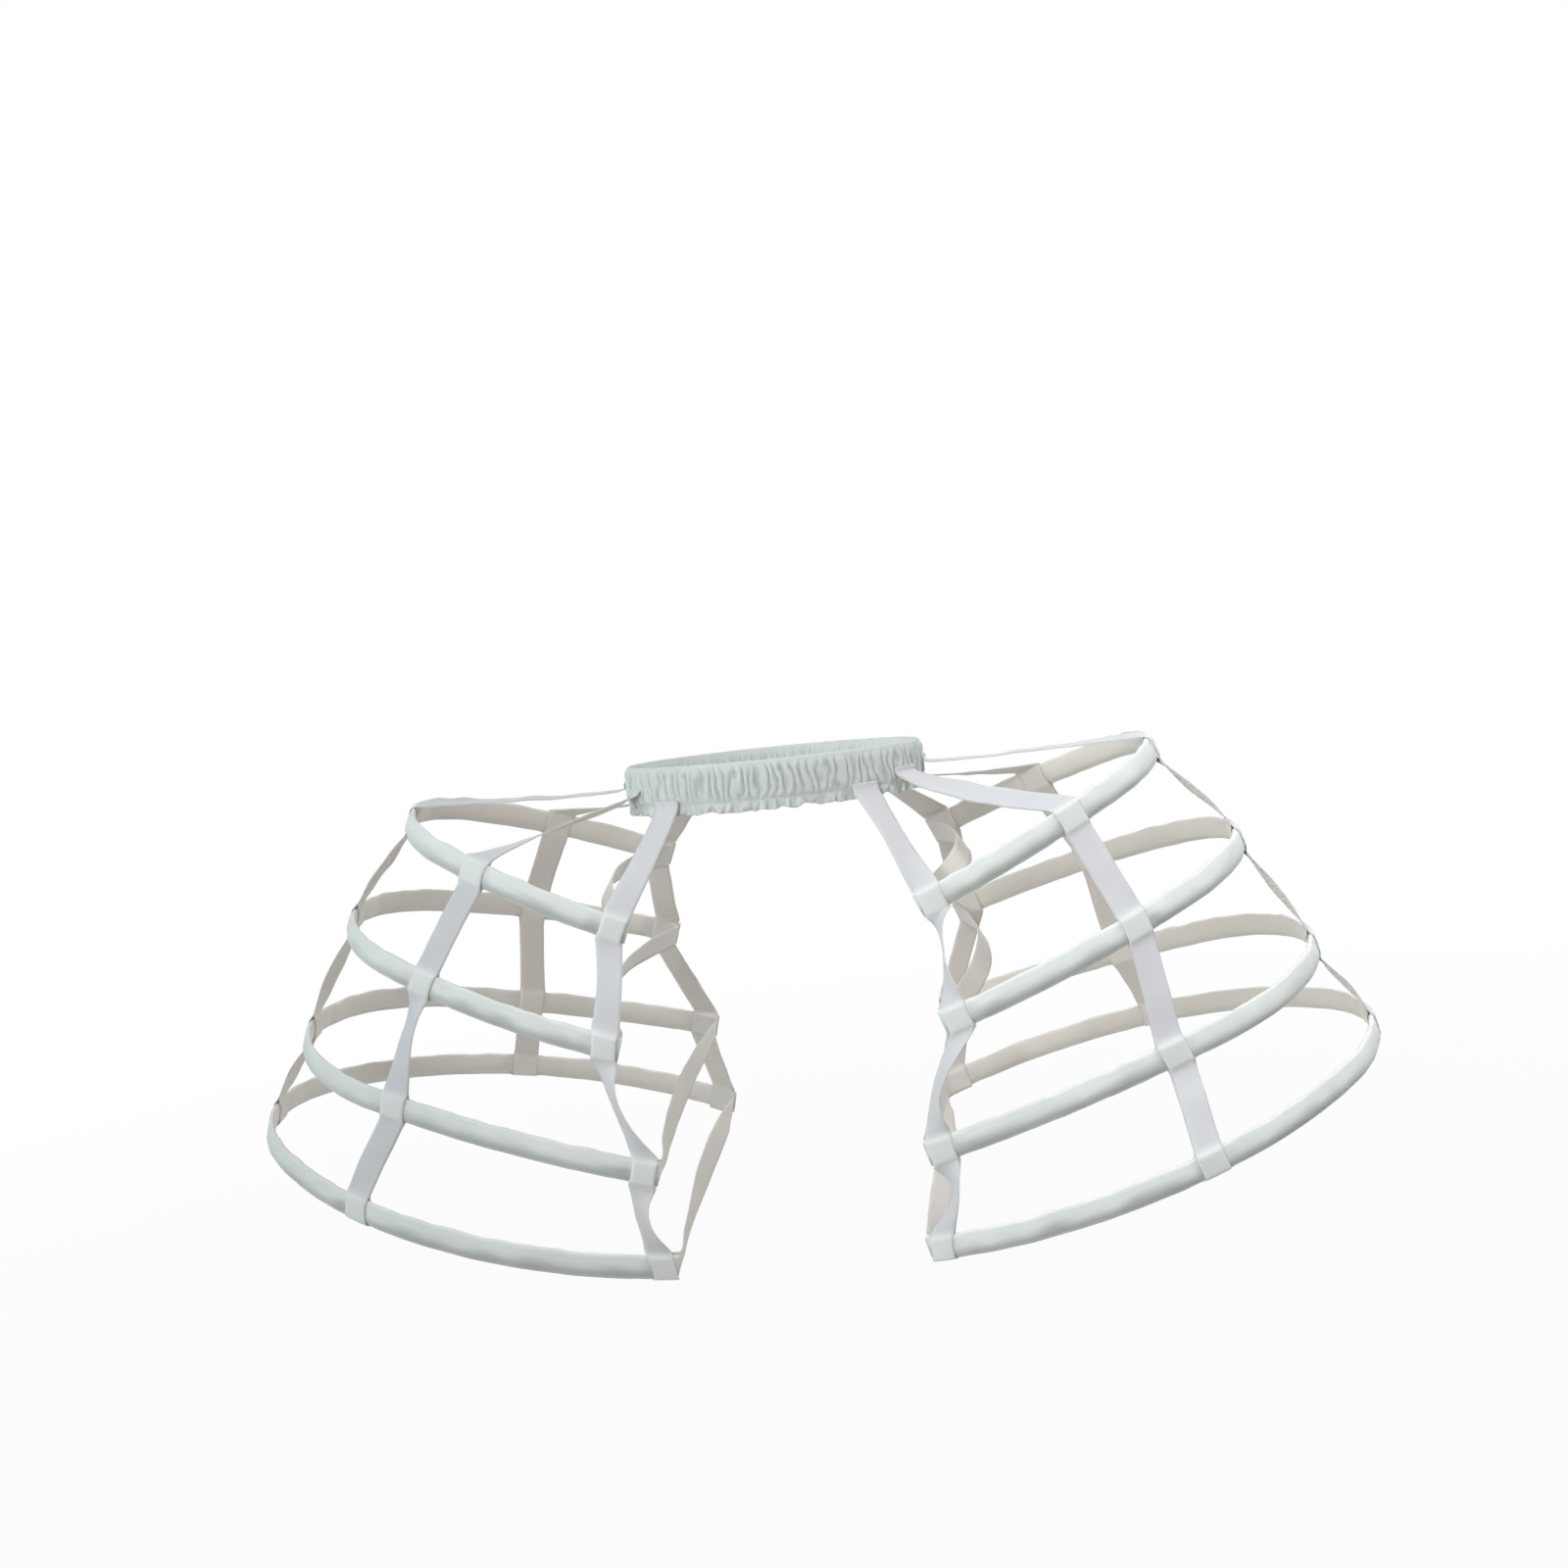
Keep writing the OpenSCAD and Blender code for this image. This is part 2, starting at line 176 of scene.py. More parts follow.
class Oval:
    """Half an oval of two arms and a round tip: reach a, half depth b at e, tip radius r."""

    def __init__(self, a, b, r, e=0.0):
        self.a, self.b, self.r, self.e = a, b, r, e
        span = a - e
        self.big = (span * span + b * b - 2 * span * r) / (2 * (b - r))
        self.join = math.atan2(self.big - b, span - r)
        self.end = math.pi / 2 + math.asin(e / self.big)
        self.arm = self.big * (self.end - self.join)
        self.tip = 2 * r * self.join
        self.run = 2 * self.arm + self.tip

    def at(self, s):
        """Points and outward directions at the runs s, from the front end round to the back end."""
        s = np.asarray(s, float)
        front, back = s < self.arm, s > self.arm + self.tip
        angle = np.where(
            front, s / self.big - self.end,
            np.where(back, self.join + (s - self.arm - self.tip) / self.big,
                     (s - self.arm) / self.r - self.join))
        arm = front | back
        radius = np.where(arm, self.big, self.r)
        x = np.where(arm, self.e, self.a - self.r)
        y = np.where(front, self.big - self.b, np.where(back, self.b - self.big, 0))
        out = np.stack([np.cos(angle), np.sin(angle)], -1)
        return np.stack([x, y], -1) + radius[..., None] * out, out

    def run_at(self, x, back):
        """Run of the point at distance x along the reach, on the front or the back."""
        if x < self.a - self.r + self.r * math.cos(self.join):
            s = (self.end - math.acos((x - self.e) / self.big)) * self.big
        else:
            s = self.arm + (self.join - math.acos(min(1, (x - self.a + self.r) / self.r))) * self.r
        return self.run - s if back else s


class Hoop:
    """One hoop of one side: places a run, an outward offset and a height in the object's frame."""

    def __init__(self, side, i):
        h = sizes("hoop")
        self.side, self.inner, self.drop = SIDES[side], h.inner[i], h.drop[i]
        self.down = i / (HOOPS - 1)
        self.tilt = math.atan2(h.rise[i], h.reach[i])
        half = h.depth[i] / 2
        self.oval = Oval(math.hypot(h.reach[i], h.rise[i]), half, h.roundness[i] * half, h.deepest[i])

    def turned(self, p):
        c, s = math.cos(self.tilt), math.sin(self.tilt)
        x, y, z = p[..., 0], p[..., 1], p[..., 2]
        return np.stack([self.side * (self.inner + x * c - z * s), y, x * s + z * c - self.drop], -1)

    def at(self, s, out, up):
        s, out, up = np.broadcast_arrays(*(np.asarray(v, float) for v in (s, out, up)))
        p, n = self.oval.at(s)
        flat = p + out[..., None] * n
        return self.turned(np.concatenate([flat, up[..., None]], -1))

    def crossing(self, k):
        """Run where tape k, counted from the front, crosses this hoop."""
        t = sizes("tape")
        end, a = t.end_inset + t.width / 2, self.oval.a
        front = t.front_place + (t.left_drift if self.side > 0 else t.right_drift) * self.down
        back = t.back_place + t.back_drift * self.down
        return self.oval.run_at((end, front * a, a, back * a, end)[k], k > OUTER_TAPE)


class Waist:
    """The closed oval of the elastic, counted from the left side towards the back."""

    def __init__(self):
        b = sizes("band")
        self.oval = Oval(b.width / 2, b.depth / 2, b.side_radius)
        self.half = self.oval.run
        self.run = 2 * self.half

    def at(self, s):
        """Points and outward directions at the runs s, where 0 is the tip of the left side."""
        s = (np.asarray(s, float) + self.half / 2) % self.run
        far = s > self.half
        p, n = self.oval.at(np.where(far, s - self.half, s))
        turn = np.where(far, -1.0, 1.0)[..., None]
        return p * turn, n * turn

    def leaving(self, k):
        """Run where tape k of the left side leaves the band."""
        t = sizes("tape")
        x = (t.waist_end, t.waist_mid, self.oval.a, t.waist_mid, t.waist_end)[k]
        return self.oval.run_at(x, k > OUTER_TAPE) - self.half / 2


def tipped(points):
    """Points or directions of the level waist, tipped up at the front as the band is worn."""
    tip = sizes("band").tip
    c, s = math.cos(tip), math.sin(tip)
    x, y, z = points[..., 0], points[..., 1], points[..., 2]
    return np.stack([x, y * c + z * s, z * c - y * s], -1)


def smooth(a, b, x):
    t = np.clip((np.asarray(x, float) - a) / (b - a), 0, 1)
    return t * t * (3 - 2 * t)


def unit(vectors):
    return vectors / np.linalg.norm(vectors, axis=-1, keepdims=True)


def closed(points):
    return np.concatenate([points, points[:1]])


def runs_along(points):
    """Distance along a path from its first point to each of its points."""
    return np.concatenate([[0], np.cumsum(np.linalg.norm(np.diff(points, axis=0), axis=1))])


def drawn(a, b, c, f):
    """Points at the shares f of a curve from a to c that is drawn toward b."""
    return (a * (1 - f) + b * f) * (1 - f) + (b * (1 - f) + c * f) * f


def drawn_in(row, share):
    """A row of points, narrowed toward its middle one."""
    middle = row[len(row) // 2]
    return share * (row - middle) + middle


def softened(values, rounds=2):
    """The values, each eased toward its two neighbours, with the first and the last kept."""
    for _ in range(rounds):
        values[1:-1] = 0.25 * values[:-2] + 0.5 * values[1:-1] + 0.25 * values[2:]
    return values


class Ripple:
    """A seeded smooth unevenness along a run, about -1 to 1."""

    def __init__(self, seed, shortest, longest, terms=7):
        dice = random.Random(seed)
        self.waves = [
            (dice.uniform(0.5, 1), 2 * math.pi / (shortest * (longest / shortest) ** dice.random()),
             dice.uniform(0, 2 * math.pi)) for _ in range(terms)]
        self.total = math.sqrt(sum(a * a for a, _, _ in self.waves))

    def __call__(self, x):
        return sum(a * np.sin(np.asarray(x) * w + f) for a, w, f in self.waves) / self.total


# Meshes


def grid_mesh(name, points, uv, around=False, along=False):
    """A mesh of rows and columns of points, closed around its columns or along its rows if asked."""
    n, m = points.shape[:2]
    faces, corners = [], []
    for i in range(n if along else n - 1):
        for j in range(m if around else m - 1):
            quad = ((i, j), (i + 1, j), (i + 1, j + 1), (i, j + 1))
            faces.append([p % n * m + q % m for p, q in quad])
            corners.extend(uv[p, q] for p, q in quad)
    mesh = bpy.data.meshes.new(name)
    mesh.from_pydata(points.reshape(-1, 3).tolist(), [], faces)
    mesh.uv_layers.new(name="UVMap").data.foreach_set("uv", np.array(corners).ravel())
    mesh.shade_smooth()
    return mesh


def add_object(mesh, material):
    piece = bpy.data.objects.new(mesh.name, mesh)
    bpy.context.collection.objects.link(piece)
    if not mesh.materials:
        mesh.materials.append(material)
    return piece


def face_outward(mesh):
    work = bmesh.new()
    work.from_mesh(mesh)
    bmesh.ops.recalc_face_normals(work, faces=work.faces)
    work.to_mesh(mesh)
    work.free()


def thicken(piece, thickness, offset):
    wall = piece.modifiers.new("Cloth", "SOLIDIFY")
    wall.thickness, wall.offset, wall.use_even_offset = thickness, offset, False
    wall.use_rim = True


def paint(mesh, name, values, shape):
    """Stores a number at each point of rows and columns; the values may be one for a row or a column."""
    numbers = np.broadcast_to(values, shape).astype(float).ravel()
    mesh.attributes.new(name, "FLOAT", "POINT").data.foreach_set("value", numbers)


def keep(piece, slot, *nodes):
    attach(piece, "root")
    if nodes:
        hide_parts(*nodes)


# Node trees


def link(tree, a, b):
    tree.links.new(a, b)


def add_node(tree, kind, values=None, **settings):
    made = tree.nodes.new(kind)
    for key, value in settings.items():
        setattr(made, key, value)
    for key, value in (values or {}).items():
        if isinstance(value, bpy.types.NodeSocket):
            link(tree, value, made.inputs[key])
        else:
            made.inputs[key].default_value = value
    return made


def new_tree(name, inputs):
    """An empty Geometry Nodes tree with a geometry in, a geometry out and the named inputs."""
    tree = bpy.data.node_groups.new(name, "GeometryNodeTree")
    face = tree.interface
    face.new_socket("Geometry", in_out="INPUT", socket_type="NodeSocketGeometry")
    for title, kind in inputs:
        face.new_socket(title, in_out="INPUT", socket_type="NodeSocket" + kind)
    face.new_socket("Geometry", in_out="OUTPUT", socket_type="NodeSocketGeometry")
    return tree, add_node(tree, "NodeGroupInput").outputs, add_node(tree, "NodeGroupOutput").inputs


def math_node(tree, kind, a, b=None):
    values = {0: a} if b is None else {0: a, 1: b}
    return add_node(tree, "ShaderNodeMath", values, operation=kind).outputs[0]


def vector_node(tree, kind, a, b):
    slot = "Scale" if kind == "SCALE" else 1
    return add_node(tree, "ShaderNodeVectorMath", {0: a, slot: b}, operation=kind).outputs[0]


def run_tree(carrier, tree, values, name):
    """The mesh that the tree makes on the carrier, which is then removed."""
    step = carrier.modifiers.new(tree.name, "NODES")
    step.node_group = tree
    for item in tree.interface.items_tree:
        if item.in_out == "INPUT" and item.name in values:
            step[item.identifier] = values[item.name]
    bpy.context.view_layer.update()
    shown = carrier.evaluated_get(bpy.context.evaluated_depsgraph_get())
    mesh = bpy.data.meshes.new_from_object(shown)
    mesh.name = name
    data = carrier.data
    bpy.data.objects.remove(carrier)
    (bpy.data.curves if isinstance(data, bpy.types.Curve) else bpy.data.meshes).remove(data)
    return mesh


def stitch_tree():
    """A row of short threads along a curve."""
    found = bpy.data.node_groups.get("Stitch row")
    if found:
        return found
    tree, given, made = new_tree("Stitch row", [
        ("Pitch", "Float"), ("Length", "Float"), ("Thread", "Float"), ("Lean", "Float"),
        ("Seed", "Int"), ("Finish", "Material")])
    row = add_node(tree, "GeometryNodeResampleCurve", {
        "Curve": given["Geometry"], "Length": given["Pitch"]}, mode="LENGTH")
    bead = add_node(tree, "GeometryNodeMeshUVSphere", {"Segments": 6, "Rings": 4, "Radius": 0.5})
    form = add_node(tree, "ShaderNodeCombineXYZ", {
        "X": given["Thread"], "Y": given["Thread"], "Z": given["Length"]})
    thread = add_node(tree, "GeometryNodeTransform", {
        "Geometry": bead.outputs["Mesh"], "Scale": form.outputs[0]})
    tangent = add_node(tree, "GeometryNodeInputTangent")
    turn = add_node(tree, "FunctionNodeAlignRotationToVector", {
        "Vector": tangent.outputs[0]}, axis="Z")
    least = math_node(tree, "MULTIPLY", given["Lean"], -1.0)
    tilt = add_node(tree, "FunctionNodeRandomValue", {
        2: least, 3: given["Lean"], "Seed": given["Seed"]}, data_type="FLOAT")
    tilts = add_node(tree, "ShaderNodeCombineXYZ", {"X": tilt.outputs[1], "Y": tilt.outputs[1]})
    lean = add_node(tree, "FunctionNodeEulerToRotation", {"Euler": tilts.outputs[0]})
    turned = add_node(tree, "FunctionNodeRotateRotation", {
        "Rotation": turn.outputs[0], "Rotate By": lean.outputs[0]}, rotation_space="LOCAL")
    laid = add_node(tree, "GeometryNodeInstanceOnPoints", {
        "Points": row.outputs["Curve"], "Instance": thread.outputs["Geometry"],
        "Rotation": turned.outputs[0]})
    real = add_node(tree, "GeometryNodeRealizeInstances", {"Geometry": laid.outputs["Instances"]})
    soft = add_node(tree, "GeometryNodeSetShadeSmooth", {"Geometry": real.outputs["Geometry"]})
    done = add_node(tree, "GeometryNodeSetMaterial", {
        "Geometry": soft.outputs["Geometry"], "Material": given["Finish"]})
    link(tree, done.outputs["Geometry"], made["Geometry"])
    return tree


# How far a stitch leans out of its row at most, in radians
STITCH_LEAN = 0.09


def sew(name, rows, slot, seed):
    """One piece of stitches along rows of points."""
    thread = sizes("thread")
    curve = bpy.data.curves.new(name + "_rows", "CURVE")
    curve.dimensions = "3D"
    for points in rows:
        spline = curve.splines.new("POLY")
        spline.points.add(len(points) - 1)
        flat = np.concatenate([points, np.ones((len(points), 1))], 1)
        spline.points.foreach_set("co", flat.ravel())
    carrier = bpy.data.objects.new(name + "_rows", curve)
    bpy.context.collection.objects.link(carrier)
    mesh = run_tree(carrier, stitch_tree(), {
        "Pitch": thread.pitch, "Length": thread.stitch, "Thread": thread.thread, "Lean": STITCH_LEAN,
        "Seed": seed, "Finish": thread_finish()}, name)
    keep(add_object(mesh, thread_finish()), slot)


def gather_tree():
    """Gathers in the channel and waves in the frill, from what the band's points carry, and the painted
    shade in the gathers' valleys.
    """
    found = bpy.data.node_groups.get("Gathers")
    if found:
        return found
    tree, given, made = new_tree("Gathers", [
        ("Gathers", "Int"), ("Gather depth", "Float"), ("Unevenness", "Float"),
        ("Frill waves", "Int"), ("Frill depth", "Float"), ("Seed", "Float"), ("Finish", "Material")])

    def carried(name, kind="FLOAT"):
        node = add_node(tree, "GeometryNodeInputNamedAttribute", {"Name": name}, data_type=kind)
        return node.outputs["Attribute"]

    def uneven(scale, shift):
        place = vector_node(tree, "SCALE", carried("ring", "FLOAT_VECTOR"), scale)
        seed = math_node(tree, "ADD", given["Seed"], shift)
        node = add_node(tree, "ShaderNodeTexNoise", {
            "Vector": place, "W": seed, "Scale": 1.0, "Detail": 1.0}, noise_dimensions="4D")
        return math_node(tree, "SUBTRACT", node.outputs[0], 0.5)

    def wave(waves, drift):
        turn = plus(product(carried("turn"), waves), drift)
        return math_node(tree, "SINE", product(turn, 2 * math.pi))

    def product(*values):
        result = values[0]
        for value in values[1:]:
            result = math_node(tree, "MULTIPLY", result, value)
        return result

    def plus(a, b):
        return math_node(tree, "ADD", a, b)

    drift = product(uneven(9.0, 0.0), given["Unevenness"], 5.0)
    crest = product(plus(wave(given["Gathers"], drift), 1.0), 0.5)
    crest = math_node(tree, "POWER", crest, 0.6)
    strength = product(plus(product(uneven(30.0, 3.0), given["Unevenness"]), 0.45), 2.0)
    strength = math_node(tree, "MINIMUM", math_node(tree, "MAXIMUM", strength, 0.2), 1.15)
    out = product(crest, strength, given["Gather depth"], carried("gather"))
    sway = product(uneven(12.0, 7.0), given["Unevenness"], 4.0)
    swing = product(wave(given["Frill waves"], sway), given["Frill depth"])
    swing = product(swing, plus(uneven(22.0, 11.0), 0.9), carried("frill"))
    lift = product(uneven(9.0, 5.0), carried("frill"), 0.010)
    outward = vector_node(tree, "SCALE", carried("facing", "FLOAT_VECTOR"), out)
    frilled = vector_node(tree, "SCALE", carried("outside", "FLOAT_VECTOR"), swing)
    moved = vector_node(tree, "ADD", outward, frilled)
    rise = add_node(tree, "ShaderNodeCombineXYZ", {"Z": lift})
    moved = vector_node(tree, "ADD", moved, rise.outputs[0])
    placed = add_node(tree, "GeometryNodeSetPosition", {"Geometry": given["Geometry"], "Offset": moved})
    # Painted shade in the valleys between the gathers, stronger where the gathers stand out.
    valley = product(math_node(tree, "SUBTRACT", 1.0, crest), strength, carried("gather"))
    shaded = add_node(tree, "GeometryNodeStoreNamedAttribute", {
        "Geometry": placed.outputs["Geometry"], "Name": "valley", "Value": valley}, data_type="FLOAT")
    real = add_node(tree, "GeometryNodeRealizeInstances", {"Geometry": shaded.outputs["Geometry"]})
    done = add_node(tree, "GeometryNodeSetMaterial", {
        "Geometry": real.outputs["Geometry"], "Material": given["Finish"]})
    link(tree, done.outputs["Geometry"], made["Geometry"])
    return tree


# Finishes


# Scale of Blender's wave texture at which one wave is a metre long
WAVE_SCALE = math.pi / 10
# Bare metal where the coat of a hoop steel is worn through
WORN_STEEL = (0.42, 0.43, 0.44)


class Finish:
    """A material under construction: the nodes of one principled surface."""

    def __init__(self, name, roughness, sheen=0.0, through=0.0):
        self.material = bpy.data.materials.new(name)
        self.material.use_nodes = True
        self.tree = self.material.node_tree
        self.surface = self.tree.nodes["Principled BSDF"]
        for key, value in {
                "Roughness": roughness, "Specular IOR Level": 0.3, "Sheen Weight": sheen,
                "Sheen Roughness": 0.45, "Subsurface Weight": through, "Subsurface Radius": (1, 1, 1),
                "Subsurface Scale": 0.0008}.items():
            self.surface.inputs[key].default_value = value
        self.height = None

    def node(self, kind, values=None, **settings):
        return add_node(self.tree, kind, values, **settings)

    def place(self, scale, kind="UV"):
        coordinates = self.node("ShaderNodeTexCoord").outputs[kind]
        return self.node("ShaderNodeMapping", {"Vector": coordinates, "Scale": scale}).outputs[0]

    def noise(self, scale, detail=2.0, kind="UV", rough=0.5):
        return self.node("ShaderNodeTexNoise", {
            "Vector": self.place(scale, kind), "Scale": 1.0, "Detail": detail,
            "Roughness": rough}).outputs[0]

    def bands(self, pitch, wobble, direction="X", kind="UV", fine=(1.0, 0.4)):
        """Even ribs of a given pitch; fine is the detail of their wobble and its scale."""
        return self.node("ShaderNodeTexWave", {
            "Vector": self.place((1, 1, 1), kind), "Scale": WAVE_SCALE / pitch, "Distortion": wobble,
            "Detail": fine[0], "Detail Scale": fine[1]}, bands_direction=direction).outputs["Fac"]

    def span(self, value, low, high, first=0.0, last=1.0):
        return self.node("ShaderNodeMapRange", {
            "Value": value, "From Min": low, "From Max": high, "To Min": first,
            "To Max": last}).outputs[0]

    def mix(self, factor, first, second):
        """Colour from first to second by a factor socket; either may be a socket or a plain colour."""
        ends = [v if isinstance(v, bpy.types.NodeSocket) else (*v, 1) for v in (first, second)]
        node = self.node("ShaderNodeMix", {"Factor": factor, 6: ends[0], 7: ends[1]}, data_type="RGBA")
        return node.outputs[2]

    def carried(self, name):
        """What the points of a mesh carry under a name."""
        return self.node("ShaderNodeAttribute", attribute_name=name).outputs["Fac"]

    def emboss(self, value, distance, strength):
        values = {"Height": value, "Distance": distance, "Strength": strength}
        if self.height:
            values["Normal"] = self.height
        self.height = self.node("ShaderNodeBump", values).outputs[0]

    def done(self, base, roughness=None):
        link(self.tree, base, self.surface.inputs["Base Color"])
        if roughness:
            link(self.tree, roughness, self.surface.inputs["Roughness"])
        if self.height:
            link(self.tree, self.height, self.surface.inputs["Normal"])
        return self.material


def times(rgb, factors):
    """A colour times one factor, or times one for each channel."""
    factors = (factors,) * 3 if isinstance(factors, float) else factors
    return tuple(min(1.0, a * b) for a, b in zip(rgb, factors))


def finish(name):
    """Marks the maker of a material, which is then made once, under the given name."""
    def mark(maker):
        return lambda: bpy.data.materials.get(name) or maker(name)
    return mark


@finish("casing_weave")
def casing_finish(name):
    """Smooth close-woven cotton, pulled tight over the steel, with painted shade on its lower part and its
    seam and painted warm shade on its inner face.
    """
    base, f = colour_of("casing"), Finish(name, roughness=0.5, sheen=0.25, through=0.25)
    soft, streak = f.noise((38, 90, 1), 3), f.noise((25, 420, 1), 2)
    tone = f.mix(f.span(soft, 0.35, 0.7), times(base, (0.95, 0.96, 0.955)), base)
    tone = f.mix(f.span(streak, 0.4, 0.75, 0, 0.35), tone, times(base, 1.05))
    # Painted shade: the lower part of the casing is darkened as if lit from above.
    tone = f.mix(f.span(f.carried("under"), 0, 1, 0, 0.9), tone, times(base, (0.60, 0.615, 0.61)))
    # Painted warm shade on the casing's inner face, next to the wearer.
    tone = f.mix(f.span(f.carried("inside"), 0, 1, 0, 0.85), tone, colour_of("inside"))
    # Painted shade along the pressed seam at the bottom edge of the casing.
    tone = f.mix(f.span(f.carried("seam"), 0.2, 1, 0, 0.6), tone, times(base, (0.82, 0.83, 0.82)))
    weave = f.bands(pitch=0.0007, wobble=0.4)
    tone = f.mix(f.span(weave, 0, 1, 0, 0.12), tone, times(base, 0.9))
    f.emboss(f.noise((30, 110, 1), 2), distance=0.0005, strength=0.3)
    return f.done(tone, f.span(streak, 0.3, 0.8, 0.5, 0.66))


@finish("tape_weave")
def tape_finish(name):
    """Woven tape with fine ribs across it and a firm edge, with painted light on its pockets and painted
    warm shade on its inner layer.
    """
    base, f = colour_of("tape"), Finish(name, roughness=0.7, sheen=0.2, through=0.15)
    soft, edge = f.noise((60, 60, 1), 3), f.carried("edge")
    ribs = f.bands(pitch=0.0012, wobble=0.3)
    tone = f.mix(f.span(soft, 0.35, 0.7), times(base, (0.955, 0.96, 0.965)), base)
    tone = f.mix(f.span(ribs, 0, 1, 0, 0.22), tone, times(base, 0.9))
    tone = f.mix(f.span(edge, 0.55, 1, 0, 0.4), tone, times(base, 1.06))
    # Painted light: the tape in a pocket is lifted to a little above the casing's white, lighter than the
    # hanging tape.
    tone = f.mix(f.span(f.carried("backed"), 0, 1, 0, 0.8), tone, times(colour_of("casing"), 1.06))
    # Painted warm shade on the inner layer of the tape and on the ties.
    tone = f.mix(f.span(f.carried("inside"), 0, 1, 0, 0.85), tone, colour_of("inside"))
    f.emboss(f.noise((35, 70, 1), 3), distance=0.0009, strength=0.5)
    f.emboss(ribs, distance=0.00002, strength=0.5)
    f.emboss(f.span(edge, 0.7, 1), distance=0.0001, strength=0.6)
    return f.done(tone, f.span(soft, 0.3, 0.7, 0.62, 0.78))


@finish("band_weave")
def band_finish(name):
    """Soft gathered cotton, with painted shade in the valleys of its gathers and in the fold at its stitch
    row.
    """
    base, f = colour_of("band"), Finish(name, roughness=0.8, sheen=0.25, through=0.25)
    soft = f.noise((90, 130, 1), 3)
    tone = f.mix(f.span(soft, 0.35, 0.7), times(base, (0.95, 0.955, 0.95)), base)
    # Painted shade in the fold at the stitch row.
    tone = f.mix(f.span(f.carried("fold"), 0, 1, 0, 0.5), tone, times(base, (0.84, 0.86, 0.85)))
    # Painted shade in the valleys between the gathers.
    tone = f.mix(f.span(f.carried("valley"), 0.25, 0.9, 0, 0.8), tone, times(base, (0.6, 0.63, 0.63)))
    f.emboss(f.noise((240, 200, 1), 3, rough=0.6), distance=0.0007, strength=0.5)
    f.emboss(f.bands(pitch=0.0006, wobble=0.5), distance=0.00002, strength=0.5)
    return f.done(tone, f.span(soft, 0.3, 0.7, 0.72, 0.86))


@finish("sewing_thread")
def thread_finish(name):
    """Twisted sewing thread."""
    base, f = colour_of("thread"), Finish(name, roughness=0.6, sheen=0.15)
    twist = f.noise((2600, 2600, 2600), 2, "Object")
    tone = f.mix(f.span(twist, 0.3, 0.7), times(base, 0.88), base)
    f.emboss(twist, distance=0.0001, strength=0.6)
    return f.done(tone)


@finish("elastic_weave")
def elastic_finish(name):
    """Ribbed woven elastic."""
    base, f = colour_of("elastic"), Finish(name, roughness=0.8, sheen=0.1)
    ribs = f.bands(pitch=0.0016, wobble=0.3, direction="Z", kind="Object", fine=(2.0, 1.0))
    fuzz = f.noise((500, 500, 500), 3, "Object")
    tone = f.mix(ribs, times(base, (0.85, 0.85, 0.84)), base)
    tone = f.mix(f.span(fuzz, 0.4, 0.7, 0, 0.4), tone, times(base, (0.92, 0.92, 0.9)))
    f.emboss(ribs, distance=0.0002, strength=0.8)
    return f.done(tone)


@finish("steel_coat")
def steel_finish(name):
    """Flat spring steel under a worn white coat."""
    base, f = colour_of("steel"), Finish(name, roughness=0.4)
    worn = f.noise((160, 160, 160), 4, "Object", 0.65)
    tone = f.mix(f.span(worn, 0.6, 0.72), base, WORN_STEEL)
    f.emboss(worn, distance=0.0001, strength=0.5)
    return f.done(tone, f.span(worn, 0.4, 0.75, 0.34, 0.5))


# Hoop casings

STITCHES = {"left_casing": [], "right_casing": [], "left_tape": [], "right_tape": [], "band": []}
# Rows of points along a casing and points round it
CASING_STEP, CASING_ROUNDS = 0.0035, 28
# How far from its ends a casing is pressed together, and how much of its thickness that takes
END_TAPER, END_PRESS = 0.012, 0.62
# Beside a pocket: the length that the pocket pulls flat, then a bulge's place, half length and sizes
POCKET_PULL, BULGE_PLACE, BULGE_HALF, BULGE_OUT, BULGE_DOWN = 0.012, 0.008, 0.006, 0.0006, 0.0003
# Room left below the height of the solid, and cloth that the fold takes up
HEIGHT_ROOM, CASING_FOLD = 0.0002, 0.002
# Turns round the section where the two seam rows run, how deep they sink and how far they clear a pocket
SEAM_TURNS, THREAD_SINK, POCKET_CLEAR = (0.845, 0.655), 0.00005, 0.0015


def casing_section(rounds):
    """Outline of a filled casing in half sizes, pressed flat at the seam below, and its soft ridge."""
    turn = np.linspace(0, 2 * math.pi, rounds, endpoint=False)
    across = np.sign(np.cos(turn)) * np.abs(np.cos(turn)) ** 0.75
    up = np.sign(np.sin(turn)) * np.abs(np.sin(turn)) ** 0.62
    across = across * (1 - 0.62 * smooth(0.55, 0.92, -up))
    ridge = np.where(np.cos(turn) > 0, 1, -0.6) * np.exp(-((up + 0.2) / 0.55) ** 2)
    return across, up, ridge


def close_ends(mesh, rows, columns, uv_at):
    """Fills the first and the last ring of a tube with strips of faces."""
    work = bmesh.new()
    work.from_mesh(mesh)
    work.verts.ensure_lookup_table()
    layer = work.loops.layers.uv["UVMap"]
    for row in (0, rows - 1):
        ring = [work.verts[row * columns + j] for j in range(columns)]
        for j in range(columns // 2):
            quad = [ring[j], ring[j + 1], ring[(columns - j - 1) % columns], ring[(columns - j) % columns]]
            quad = [v for n, v in enumerate(quad) if v not in quad[:n]]
            if len(quad) < 3:
                continue
            face = work.faces.new(quad)
            face.smooth = True
            for corner in face.loops:
                corner[layer].uv = uv_at(row, corner.vert.index % columns)
    work.to_mesh(mesh)
    work.free()


def free_stretches(line, free):
    """The stretches of a line of points that are free, each of at least four points."""
    stretches, start = [], None
    for p in range(len(line) + 1):
        open_here = p < len(line) and free[p]
        if open_here and start is None:
            start = p
        elif not open_here and start is not None:
            if p - start > 3:
                stretches.append(line[start:p])
            start = None
    return stretches


